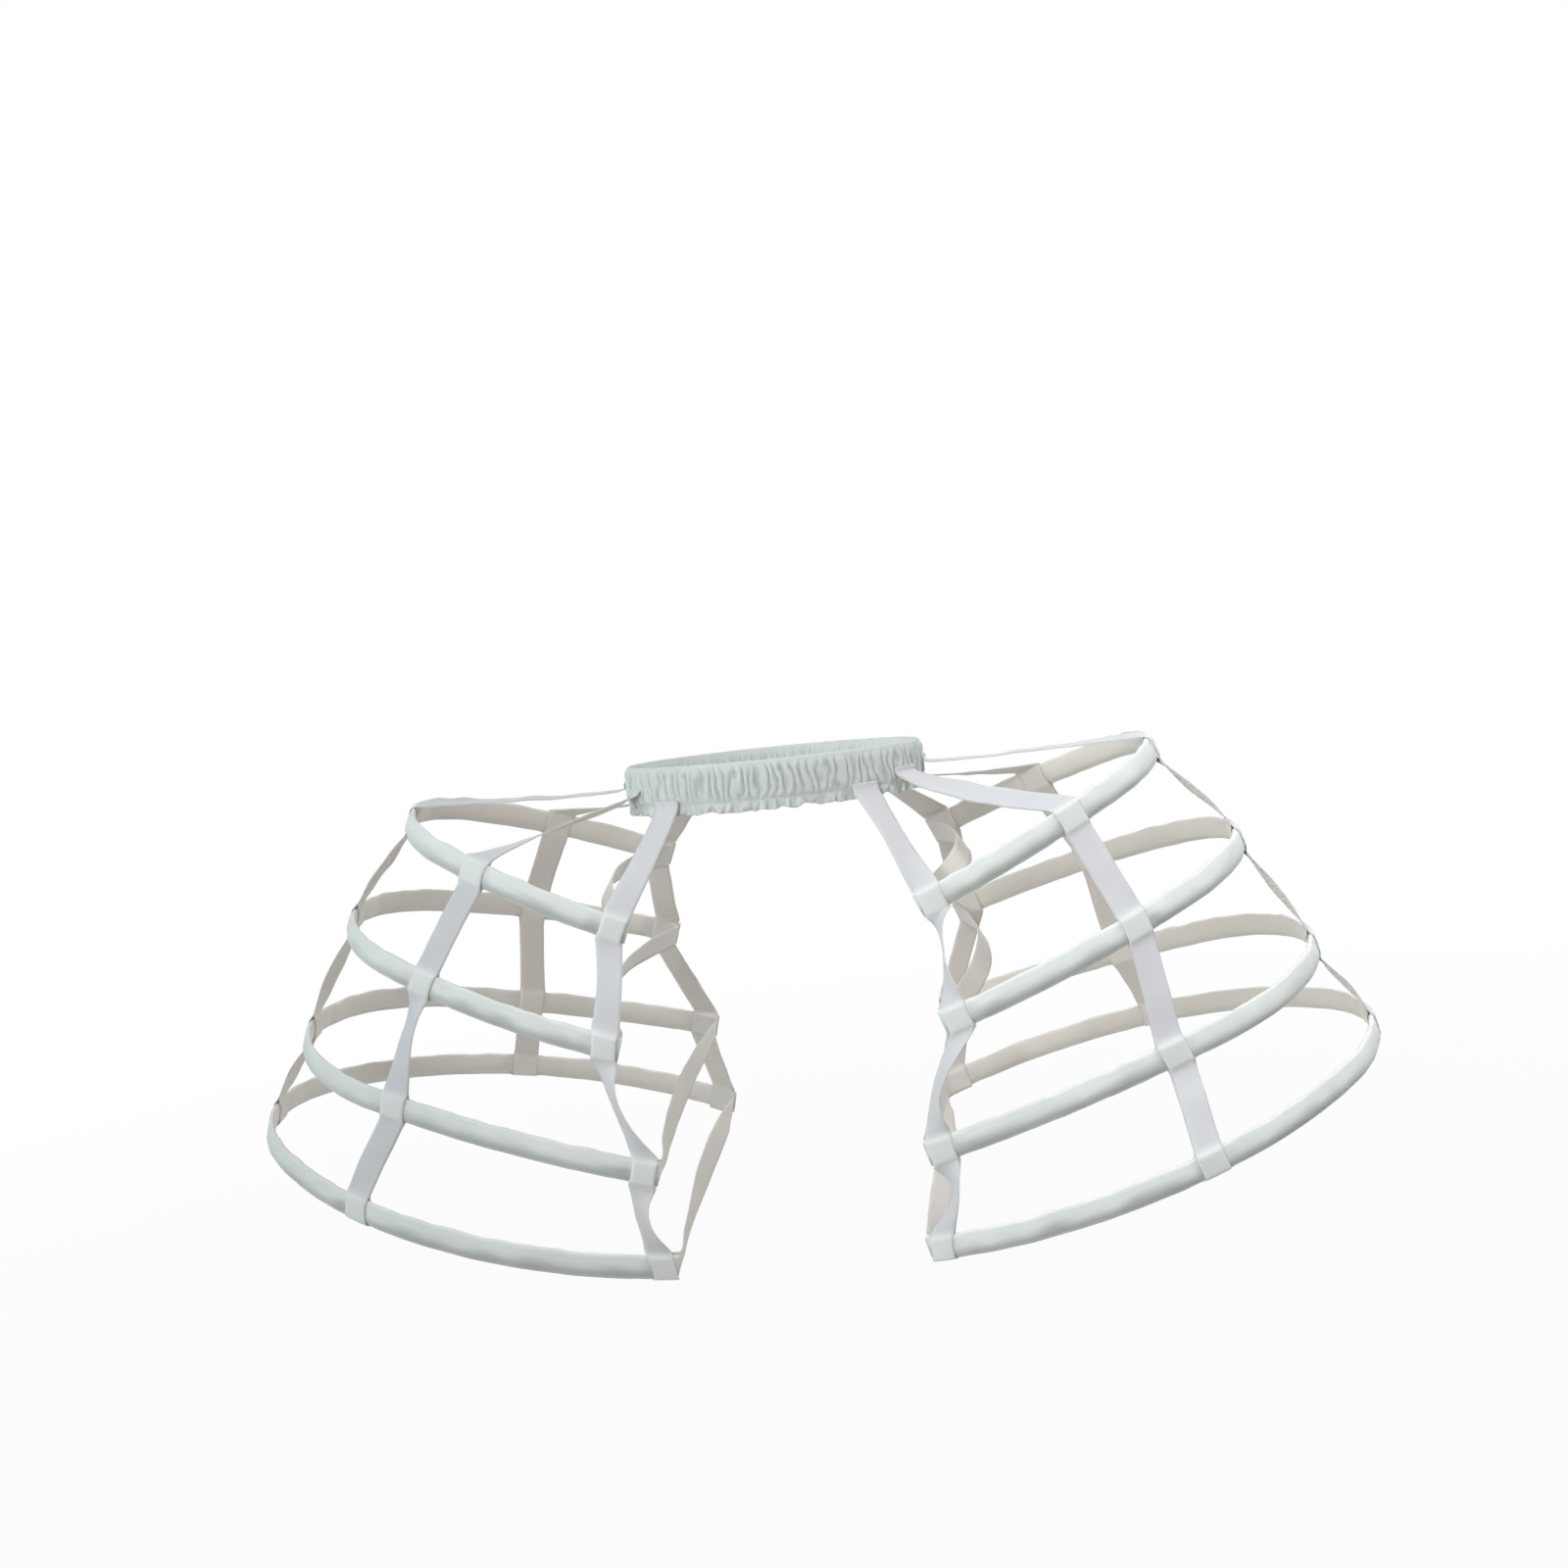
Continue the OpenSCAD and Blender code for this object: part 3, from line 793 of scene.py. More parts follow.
def make_casing(side, i):
    h, t = sizes("hoop"), sizes("tape")
    hoop = Hoop(side, i)
    name = f"{side}_hoop_casing_{i + 1}"
    seed = f"{name} cloth"
    rows = int(hoop.oval.run / CASING_STEP)
    run = np.linspace(0, hoop.oval.run, rows)
    across, up, ridge = casing_section(CASING_ROUNDS)
    puff, sag, lean = (Ripple(seed + word, 0.02, 0.12)(run) for word in ("puff", "sag", "lean"))
    end = np.minimum(run, hoop.oval.run - run)
    opened = smooth(0.0, END_TAPER, end)
    shut = 1 - END_PRESS * (1 - opened)
    near = np.min([np.abs(run - hoop.crossing(k)) for k in range(len(TAPES))], axis=0)
    loose = smooth(t.width / 2, t.width / 2 + POCKET_PULL, near)
    beside = np.exp(-((near - t.width / 2 - BULGE_PLACE) / BULGE_HALF) ** 2)
    thick = h.thickness / 2 * shut + (h.lumps * puff + BULGE_OUT * beside) * loose
    tall = h.height / 2 - HEIGHT_ROOM + 0.5 * h.lumps * sag * loose - BULGE_DOWN * beside
    from_tip = np.abs(run - hoop.oval.run / 2) / hoop.oval.tip
    tip = 1 - smooth(0.2, 0.45, from_tip)
    swell = (h.ridge + h.lumps * Ripple(seed + "ridge", 0.03, 0.15)(run)) * loose * (1 - 0.75 * tip)
    swell = swell * opened
    out = np.outer(thick, across) + np.outer(swell, ridge) + (0.4 * h.lumps * lean * loose)[:, None]
    high = np.outer(tall, up) + (0.8 * h.lumps * sag * loose)[:, None]
    points = hoop.at(run[:, None], out, high)
    girth = runs_along(closed(np.stack([out[rows // 2], high[rows // 2]], -1)))
    uv = np.stack(np.broadcast_arrays(run[:, None], girth[None, :]), -1)
    mesh = grid_mesh(name + "_cloth", points, uv, around=True)
    close_ends(mesh, rows, CASING_ROUNDS, lambda row, p: (run[row] + out[row, p], girth[p]))
    face_outward(mesh)
    shape = (rows, CASING_ROUNDS)
    # Painted shade along the pressed seam at the bottom edge, carried as seam.
    paint(mesh, "seam", smooth(0.5, 0.95, -up), shape)
    # Painted warm shade on the inner face of the casing, carried as inside.
    paint(mesh, "inside", smooth(-0.3, 0.3, -across), shape)
    # Painted shade on the lower part of the casing, weaker round the tip, carried as under.
    waver = Ripple(seed + "under", 0.03, 0.2)(run)[:, None]
    bend = 1 - smooth(0.35, 0.75, from_tip)
    depth = (0.85 + 0.15 * waver) * (1 - 0.6 * bend[:, None])
    paint(mesh, "under", smooth(-0.10, 0.16, -up + 0.06 * waver) * depth, shape)
    piece = add_object(mesh, casing_finish())
    keep(piece, "casing_cotton", name)
    for turn in SEAM_TURNS:
        j = int(round(CASING_ROUNDS * turn))
        line = hoop.at(run, out[:, j] - np.sign(across[j]) * THREAD_SINK, high[:, j])
        STITCHES[side + "_casing"] += free_stretches(line, near > t.width / 2 + POCKET_CLEAR)


# Long tapes

# How each stretch of a tape hangs, by its side, its tape and the hoop below it: bow outward, sway along
# the hoop, twist in degrees, peak for where the twist is most (below 1: higher), hold for how soon it
# gets there (below 1: sooner), pinch for how far the tape narrows there, taper for how far all along.
HANGS = {
    ("right", 0, 1): dict(bow=0.003, sway=-0.002, twist=-12, pinch=0.08),
    ("right", 0, 2): dict(bow=0.006, sway=0.005, twist=-58, peak=0.9, pinch=0.25, taper=0.22),
    ("right", 0, 3): dict(bow=0.004, sway=0.006, twist=-42, peak=1.2, pinch=0.22, taper=0.28),
    ("right", 1, 0): dict(bow=0.001, twist=-29, hold=0.4, pinch=0.10),
    ("right", 1, 2): dict(bow=0.002, twist=-32, peak=0.6, pinch=0.12),
    ("right", 1, 3): dict(bow=0.001, twist=10, pinch=0.05),
    ("right", 2, 1): dict(bow=0.001, twist=-12),
    ("right", 2, 2): dict(bow=0.001, twist=-18),
    ("right", 2, 3): dict(bow=0.001, twist=-13),
    ("left", 0, 0): dict(bow=0.002, twist=-24, peak=1.4, pinch=0.10),
    ("left", 0, 1): dict(bow=0.003, twist=78, peak=0.75, hold=0.5, pinch=0.25),
    ("left", 0, 2): dict(bow=0.007, sway=-0.009, twist=56, peak=1.3, hold=0.7, pinch=0.30),
    ("left", 0, 3): dict(bow=0.005, sway=0.011, twist=60, peak=0.8, pinch=0.30),
    ("left", 1, 0): dict(bow=-0.002, sway=-0.003, twist=18, pinch=0.08),
    ("left", 2, 1): dict(bow=0.001, twist=-19),
    ("left", 2, 2): dict(bow=0.0005, twist=-18),
    ("left", 2, 3): dict(bow=0.0005, twist=-18),
}
# How far above the stitch row of the band a tape is sewn to it.
WAIST_LIFTS = {("left", 2): 0.013, ("right", 2): 0.013, ("right", 1): 0.009, ("left", 1): 0.008}
# Lean of the tape in its pocket: how far its upper edge shifts along the hoop, and its lower edge back.
LEANS = {("right", 0, 3): 0.0042, ("right", 1, 3): 0.0012, ("right", 1, 1): -0.0018,
         ("left", 1, 2): -0.0014, ("left", 0, 3): 0.0026, ("right", 0, 1): 0.0015}
# Greatest bow, twist and slip of a stretch or a pocket that has no line above
PLAIN_BOW, PLAIN_TWIST, PLAIN_SLIP = 0.0012, 7, 0.0006
# Distance between the rows of a stretch, and of its first two rows from the neck at each end
ROW_STEP, NECK_ROWS = 0.0048, (0.0016, 0.0042)
# How far slack tape wavers outward, how far it turns, and how far a twisted tape cups
SLACK_OUT, SLACK_TURN, CUP = 0.0006, 0.015, 0.006
# At the waist: room to the gathers, how far below its stitch row a tape starts to hang, and its next row
WAIST_ROOM, HANG_START, HANG_NEXT = 0.0003, 0.0006, 0.0012
# Share of the width that is sewn, in a pocket's stitch rows and at the waist
POCKET_SEWN, WAIST_SEWN = 0.96, 0.9
# Room of a pocket over the casing, to its rows and to the neck, and angles of its shoulder and bottom turn
POCKET_ROOM, NECK_ROOM, SHOULDER, BOTTOM_TURN = 0.0006, 0.00075, (50, 62, 76, 90), (30, 60, 90)
# How far a pocket's edges dip, how far its face swells, and how much it flares at its necks
EDGE_DIP, FACE_SWELL, NECK_FLARE = 0.0004, 0.00015, 0.12
# Share of the tape's width that shows in a pocket, at the ends of a hoop and elsewhere
END_POCKET_WIDTH, POCKET_WIDTH = 0.84, 0.95


def stretch_runs(total, neck):
    """Distances along a stretch of tape, closer together at its two necks."""
    first, second = NECK_ROWS
    steps = max(6, int(total / ROW_STEP))
    between = np.linspace(neck + second, total - neck - second, steps)
    return np.concatenate([[neck, neck + first], between, [total - neck - first, total - neck]])


class TapeMaker:
    """Collects the rows of one doubled tape, its outer layer downward and its inner layer back up."""

    columns = np.linspace(-0.5, 0.5, 9)
    mid = len(columns) // 2
    # Half the distance between the layers, length lost to a neck's stitches, height of a stitch
    layer, neck, stitch = 0.00027, 0.0015, 0.00034

    def __init__(self, side, k):
        self.side, self.k, self.sign = side, k, SIDES[side]
        self.band, self.hoop_sizes, self.tape = sizes("band"), sizes("hoop"), sizes("tape")
        self.hoops = [Hoop(side, i) for i in range(HOOPS)]
        self.spots = [hoop.crossing(k) for hoop in self.hoops]
        self.edge = self.hoop_sizes.height / 2 + NECK_ROOM
        self.outer, self.inner, self.rows, self.backed = [], [], [], []
        self.offsets = self.columns * self.tape.width

    def joint(self, i, up):
        """Row of points where a stretch meets the casing of hoop i, above or below."""
        lean = LEANS.get((self.side, self.k, i), 0) * up
        return self.hoops[i].at(self.spots[i] + self.offsets + lean, 0, up * self.edge)

    def waist_row(self, up):
        waist = Waist()
        p, n = waist.at(waist.leaving(self.k) + self.offsets)
        out = self.band.base + self.band.gather_depth + WAIST_ROOM + 2 * self.layer
        flat = p + n * out
        return tipped(np.concatenate([flat * [self.sign, 1], np.full((len(flat), 1), up)], 1))

    def hang(self, i, rows):
        """Shapes a stretch from its straight rows: twist, bow, sway and narrowing, then its two layers."""
        dice = random.Random(f"{self.side} {self.k} {i}")
        style = dict(bow=dice.uniform(-PLAIN_BOW, PLAIN_BOW), twist=dice.uniform(-PLAIN_TWIST, PLAIN_TWIST),
                     sway=0.0, peak=1.0, hold=1.0, pinch=0.03, taper=0.0)
        style.update(HANGS.get((self.side, self.k, i), {}))
        middle = rows[:, self.mid]
        run = runs_along(middle)
        f = run / run[-1]
        swell = np.abs(np.sin(math.pi * f ** style["peak"])) ** style["hold"]
        across = unit(rows[:, -1] - rows[:, 0])
        ahead = unit(np.gradient(middle, axis=0))
        out = unit(np.cross(ahead, across) * self.sign)
        arch = np.sin(math.pi * f)
        slack = Ripple(f"{self.side} {self.k} {i} slack", 0.02, 0.09)(run) * arch
        middle = middle + out * (style["bow"] * arch + SLACK_OUT * slack)[:, None]
        middle = middle + across * (style["sway"] * arch)[:, None]
        angle = np.radians(style["twist"]) * swell + SLACK_TURN * slack
        wide = (1 - style["pinch"] * swell) * (1 - style["taper"] * smooth(0, 0.2, np.minimum(f, 1 - f)))
        flat = rows - rows[:, self.mid, None]
        along_it = np.einsum("rcx,rx->rc", flat, across) * wide[:, None]
        off_it = np.einsum("rcx,rx->rc", flat, out)
        off_it = off_it + 0.5 * CUP * style["pinch"] * swell[:, None] * (2 * self.columns) ** 2
        cos, sin = np.cos(angle)[:, None], np.sin(angle)[:, None]
        turned_across, turned_out = across * cos + out * sin, out * cos - across * sin
        sheet = (middle[:, None] + along_it[..., None] * turned_across[:, None]
                 + off_it[..., None] * turned_out[:, None])
        lift = self.layer * turned_out[:, None]
        self.outer.append(sheet + lift)
        self.inner.append(sheet - lift)
        self.backed += [0.0] * len(sheet)
        return sheet, turned_out

    def sew_rows(self, sheet, out, *numbers):
        for n in numbers:
            inside = drawn_in(sheet[n], POCKET_SEWN)
            for face in (1, -1):
                self.rows.append(inside + face * (self.layer + self.stitch) * out[n])

    def first_stretch(self):
        level = WAIST_LIFTS.get((self.side, self.k), 0) - self.band.channel / 2
        top = self.waist_row(level + self.tape.waist_lap)
        p = self.waist_row(level - HANG_START)
        q = p - [0, 0, self.tape.waist_droop]
        e = self.joint(0, 1)
        fs = np.linspace(0, 1, 60)[:, None, None]
        curve = drawn(p, q, e, fs)
        run = runs_along(curve[:, self.mid])
        want = stretch_runs(run[-1], self.neck)
        want[:2] = 0.0, HANG_NEXT
        rows = np.stack([[np.interp(want, run, curve[:, c, x]) for x in range(3)]
                         for c in range(len(self.columns))]).transpose(2, 0, 1)
        lead = np.stack([top + (p - top) * f for f in (0, 0.25, 0.5, 0.75)])
        rows = np.concatenate([lead, rows])
        sheet, out = self.hang(0, rows)
        self.sew_rows(sheet, out, -1)
        for n in (1, 3):
            inside = drawn_in(sheet[n], WAIST_SEWN)
            self.rows.append(inside + (self.layer + self.stitch) * out[n])

    def stretch(self, i):
        a, b = self.joint(i, -1), self.joint(i + 1, 1)
        total = float(np.linalg.norm(b[self.mid] - a[self.mid]))
        f = (stretch_runs(total, self.neck) / total)[:, None, None]
        sheet, out = self.hang(i + 1, a + (b - a) * f)
        self.sew_rows(sheet, out, 0, -1)

    def pocket(self, i):
        hoop, spot = self.hoops[i], self.spots[i]
        wide = self.tape.pocket
        tall = self.hoop_sizes.height / 2 + POCKET_ROOM
        centre = tall - wide
        top = [(wide * math.sin(a), centre + wide * math.cos(a)) for a in np.radians(SHOULDER)]
        face = [(wide, z) for z in (0.66 * centre, 0.33 * centre, 0, -0.33 * centre, -0.66 * centre)]
        low = [(x, -z) for x, z in reversed(top)]
        path = top + face + low
        if i == HOOPS - 1:
            path = path[:-2] + [(wide * math.cos(a), -centre - wide * math.sin(a))
                                for a in np.radians(BOTTOM_TURN)]
        slip = random.Random(f"{i}{self.k}{self.side}").uniform(-PLAIN_SLIP, PLAIN_SLIP)
        lean = LEANS.get((self.side, self.k, i), slip)
        crease = Ripple(f"{self.side} {self.k} {i} pocket", 0.006, 0.02)
        self.backed += [1.0] * len(path)
        offsets = self.offsets * (END_POCKET_WIDTH if self.k in END_TAPES else POCKET_WIDTH)
        for layer, sign in ((self.outer, 1), (self.inner, -1)):
            rows = []
            for x, z in path:
                full = 1 - (z / tall) ** 2
                out = x + full * FACE_SWELL * (1 + crease(offsets + 3 * z))
                out = out - EDGE_DIP * (2 * self.columns) ** 4
                wide_here = 1 + NECK_FLARE * (z / tall) ** 4
                rows.append(hoop.at(spot + offsets * wide_here + lean * z / tall, sign * out, z))
            layer.append(np.stack(rows))

    def build(self):
        self.first_stretch()
        for i in range(HOOPS):
            self.pocket(i)
            if i < HOOPS - 1:
                self.stretch(i)
        down, up = np.concatenate(self.outer), np.concatenate(self.inner)[::-1]
        points = softened(np.concatenate([down, up[1:]]))
        name = f"{self.side}_{TAPES[self.k]}"
        run = runs_along(points[:, self.mid])
        uv = np.stack(np.broadcast_arrays(run[:, None], self.offsets[None, :]), -1)
        mesh = grid_mesh(name + "_cloth", points, uv)
        shape = points.shape[:2]
        paint(mesh, "edge", np.abs(2 * self.columns), shape)
        backed = softened(np.array(self.backed + self.backed[::-1][1:]))
        turned = np.arange(len(backed)) >= len(down)
        # Painted light on the pockets, carried as backed.
        paint(mesh, "backed", backed[:, None], shape)
        # Painted warm shade on the inner layer, the one that comes back up next to the wearer.
        paint(mesh, "inside", turned[:, None], shape)
        piece = add_object(mesh, tape_finish())
        thicken(piece, self.tape.cloth, 0.0)
        keep(piece, "tape_cotton", name)
        STITCHES[self.side + "_tape"] += self.rows


# Ties

# Twist of a tie in degrees, where it is most, and how far the tie sags.
TIE_HANGS = {("right", 3): (-34, 1.8, 0.003), ("right", 2): (-28, 1.0, 0.002),
             ("left", 3): (36, 1.0, 0.002), ("left", 2): (-22, 1.1, 0.003)}
PLAIN_TIE = (8, 1.0, 0.002)
# Room between a tie and the casing behind it in its lap, and from the lap's end to where the tie turns free
TIE_ROOM, TIE_TURNS_FREE = 0.0009, (0.006, 0.05)
# How much of a tie takes the painted warm shade of the inner faces, and its stitches: rows, share of the
# width, height
TIE_WARM_SHADE, TIE_SEWN_ROWS, TIE_SEWN, TIE_STITCH = 0.8, (2, 6), 0.85, 0.0004


def tie_path(hoop, i):
    """Points of a tie in its hoop's plane, from its front lap round to its back lap."""
    t = sizes("tape")
    o = hoop.oval
    deep = t.pocket + TIE_ROOM

    def inside(s):
        return np.array((s, o.big - o.b - math.sqrt((o.big - deep) ** 2 - (s - o.e) ** 2)))

    run = t.end_inset / 2
    turn = run + t.tie_bend
    first, corner = inside(turn), inside(run)
    last = corner + (0, t.tie_bend)
    half = [inside(s) for s in np.linspace(turn + t.tie_lap, turn, 8)]
    half += [drawn(first, corner, last, f) for f in (0.25, 0.5, 0.75)]
    half += [(run + t.tie_bow[i] * (1 - (1 - f) ** 2), last[1] * (1 - f)) for f in np.linspace(0, 1, 24)]
    return softened(np.array(half + [(x, -v) for x, v in reversed(half[:-1])]))


def make_tie(side, i):
    t = sizes("tape")
    hoop = Hoop(side, i)
    name = f"{side}_tie_{i + 1}"
    path = tie_path(hoop, i)
    run = runs_along(path)
    near, far = (t.tie_lap + distance for distance in TIE_TURNS_FREE)
    free = smooth(near, far, np.minimum(run, run[-1] - run))
    twist, peak, sag = TIE_HANGS.get((side, i), PLAIN_TIE)
    f = run / run[-1]
    angle = math.radians(twist) * np.sin(math.pi * f ** peak) * free
    angle = angle + 0.03 * Ripple(name, 0.05, 0.2)(run) * free
    columns = np.linspace(-0.5, 0.5, 7)
    ahead = unit(np.gradient(path, axis=0))
    beside = np.stack([-ahead[:, 1], ahead[:, 0]], -1)
    wide = columns[None, :] * t.tie_width
    flat = path[:, None] + (wide * np.sin(angle)[:, None])[..., None] * beside[:, None]
    up = wide * np.cos(angle)[:, None] - (sag * free * np.sin(math.pi * f))[:, None]
    points = hoop.turned(np.concatenate([flat, up[..., None]], -1))
    uv = np.stack(np.broadcast_arrays(run[:, None], wide[:1]), -1)
    mesh = grid_mesh(name + "_cloth", points, uv)
    paint(mesh, "edge", np.abs(2 * columns), points.shape[:2])
    # Painted warm shade over the whole tie.
    paint(mesh, "inside", TIE_WARM_SHADE, points.shape[:2])
    piece = add_object(mesh, tape_finish())
    thicken(piece, t.cloth, 0.0)
    keep(piece, "tape_cotton", name)
    for row in (*TIE_SEWN_ROWS, *(len(path) - 1 - n for n in TIE_SEWN_ROWS)):
        lift = hoop.turned(np.append(beside[row] * TIE_STITCH, 0)) - hoop.turned(np.zeros(3))
        STITCHES[side + "_tape"].append(drawn_in(points[row], TIE_SEWN) + lift)


# Waistband

# Stations of the mesh for one gather, and cloth taken up by the gathers in the run of the weave
GATHER_STATIONS, TAKEN_UP = 10, 1.5
# Half height of the painted shade in the fold at the stitch row, and stretch of the unevenness over the
# height of the band
SHADE_FOLD_HALF, UNEVEN_HEIGHT = 0.0014, 6.0
# Points of the outline in the two stitch rows and half way down, and height of a stitch
BAND_SEWN_ROWS, BAND_MIDDLE_ROW, BAND_STITCH = (4, 16), 10, 0.0003


def band_outline(b):
    """Outline of the band's section from the top fold down the outer face and back up the inner face.

    Each row: outward place, height, share of the gathers and share of the frill's swing."""
    top, low = b.channel / 2, -b.channel / 2
    hem = low - b.frill
    outer = [
        (0.0, top, 0, 0), (0.3 * b.base, top - 0.0001, 0, 0), (0.62 * b.base, top - 0.0006, 0.03, 0),
        (0.82 * b.base, top - 0.0014, 0.08, 0), (0.86 * b.base, top - 0.0024, 0.12, 0),
        (0.95 * b.base, top - 0.0036, 0.4, 0), (b.base, top - 0.0052, 0.8, 0),
        (b.base, top - 0.0080, 1, 0), (b.base, top - 0.0115, 1, 0), (b.base, top - 0.0150, 1, 0),
        (b.base, top - 0.0185, 1, 0), (b.base, top - 0.0220, 1, 0), (b.base, low + 0.0052, 0.95, 0),
        (0.95 * b.base, low + 0.0032, 0.75, 0), (0.75 * b.base, low + 0.0016, 0.45, 0),
        (0.42 * b.base, low + 0.0004, 0.22, 0), (0.36 * b.base, low - 0.0004, 0.2, 0.02),
        (0.44 * b.base, low - 0.0014, 0.3, 0.12), (0.44 * b.base, low - 0.0030, 0.25, 0.4),
        (0.42 * b.base, low - 0.0048, 0.1, 0.7), (0.40 * b.base, low - 0.0066, 0, 0.95),
        (0.30 * b.base, hem + 0.0003, 0, 1.0), (0.0, hem, 0, 1.0)]
    inner = [(-n, z, 0.6 * g, f) for n, z, g, f in outer[-2:0:-1]]
    return np.array(outer + inner)


def make_band():
    b = sizes("band")
    waist = Waist()
    outline = band_outline(b)
    stations, m = b.gathers * GATHER_STATIONS, len(outline)
    turn = np.arange(stations) / stations
    p, n = waist.at(turn * waist.run)
    normal = np.concatenate([n, np.zeros((stations, 1))], 1)
    place = np.concatenate([p, np.zeros((stations, 1))], 1)
    points = place[:, None] + outline[None, :, :1] * normal[:, None]
    points[..., 2] += outline[None, :, 1]
    girth = runs_along(closed(outline[:, :2]))
    weave_run = np.append(turn, 1.0) * waist.run * TAKEN_UP
    uv = np.stack(np.broadcast_arrays(weave_run[:, None], girth[None, :]), -1)
    mesh = grid_mesh("waistband_rows", points, uv, around=True, along=True)
    face_outward(mesh)
    shape = (stations, m)
    # Painted shade in the fold at the stitch row, carried as fold.
    fold = np.exp(-((outline[:, 1] + b.channel / 2) / SHADE_FOLD_HALF) ** 2)
    for name, values in (("turn", turn[:, None]), ("gather", outline[:, 2]), ("frill", outline[:, 3]),
                         ("fold", fold)):
        paint(mesh, name, values, shape)
    ring = np.stack([np.cos(2 * math.pi * turn), np.sin(2 * math.pi * turn), 0 * turn], -1)
    ring = ring[:, None] + outline[None, :, 1:2] * [0, 0, UNEVEN_HEIGHT]
    face = np.where(outline[:, 0] >= 0, 1.0, -1.0)
    for name, values in (("ring", ring), ("outside", np.broadcast_to(normal[:, None], ring.shape)),
                         ("facing", normal[:, None] * face[None, :, None])):
        mesh.attributes.new(name, "FLOAT_VECTOR", "POINT").data.foreach_set("vector", values.ravel())
    carrier = bpy.data.objects.new("waistband_rows", mesh)
    bpy.context.collection.objects.link(carrier)
    made = run_tree(carrier, gather_tree(), {
        "Gathers": b.gathers, "Gather depth": b.gather_depth, "Unevenness": b.unevenness,
        "Frill waves": b.frill_waves, "Frill depth": b.frill_depth, "Seed": 4.0,
        "Finish": band_finish()}, "waistband_cloth")
    made.shade_smooth()
    spots = np.empty(stations * m * 3)
    made.vertices.foreach_get("co", spots)
    spots, normal = tipped(spots.reshape(stations, m, 3)), tipped(normal)
    made.vertices.foreach_set("co", spots.ravel())
    made.update()
    for j in BAND_SEWN_ROWS:
        line = spots[:, j] + BAND_STITCH * normal
        STITCHES["band"].append(closed(line))
    piece = add_object(made, band_finish())
    thicken(piece, b.cloth, -1.0)
    keep(piece, "band_cotton", "waistband")


# Stage

CAMERA_PLACE = (0.234, -1.810, 0.377)
CAMERA_PAN, CAMERA_TILT, CAMERA_ROLL = -7.16, 12.02, 6.98
SENSOR_WIDTH, LENS = 36, 53.775
# Place, target, size, power, tint and spread in degrees of each lamp
LAMPS = {
    "side": ((1.5, 0.1, 1.3), (0.4, 0, -0.2), 0.9, 2.2, (0.97, 0.99, 1.0), 50),
    "back": ((0.9, 1.5, 0.9), (0.2, 0, -0.15), 0.9, 8, (1.0, 0.94, 0.86), 180),
    "sky": ((-1.8, -0.45, 1.1), (-0.1, 0, -0.2), 1.0, 15, (0.82, 0.96, 1.0), 180),
    "front": ((-0.35, -1.5, 0.75), (0.42, 0.15, -0.2), 0.9, 2.5, (1.0, 0.98, 0.95), 60),
}
# Light of the room itself, and the white that is seen behind the object
ROOM_TINT, ROOM_LEVEL, WHITE = (1.0, 0.95, 0.89, 1), 0.30, (1, 1, 1, 1)
FLOOR_HALF, FLOOR_LEVEL = 12.0, -1.0
# The floor turns white from the first distance to the second, from the first share to the second
FLOOR_FADE, FLOOR_WHITE = (1.1, 3.0), (0.9, 1.0)


def look_from(place, pan, tilt, roll):
    """Camera matrix from its place and its angles: to the side, down, and round the view."""
    pan, tilt, roll = (math.radians(a) for a in (pan, tilt, roll))
    ahead = Vector((math.sin(pan) * math.cos(tilt), math.cos(pan) * math.cos(tilt), -math.sin(tilt)))
    right = Vector((math.cos(pan), -math.sin(pan), 0))
    down = ahead.cross(right)
    side = math.cos(roll) * right + math.sin(roll) * down
    under = -math.sin(roll) * right + math.cos(roll) * down
    axes = Matrix((side, -under, -ahead)).transposed()
    return Matrix.Translation(place) @ axes.to_4x4()


def add_lamp(name, place, target, size, power, tint, spread):
    lamp = bpy.data.lights.new(name, "AREA")
    lamp.shape, lamp.size, lamp.energy, lamp.color = "DISK", size, power, tint
    lamp.spread = math.radians(spread)
    made = bpy.data.objects.new(name, lamp)
    bpy.context.collection.objects.link(made)
    made.location = place
    aim = Vector(target) - Vector(place)
    made.rotation_euler = aim.to_track_quat("-Z", "Y").to_euler()
    made.visible_camera = False


def plain_ray(tree):
    """1 where the camera sees the surface itself, in gloss or through glass."""
    path = add_node(tree, "ShaderNodeLightPath").outputs
    seen = math_node(tree, "MAXIMUM", path["Is Camera Ray"], path["Is Glossy Ray"])
    return math_node(tree, "MAXIMUM", seen, path["Is Transmission Ray"])


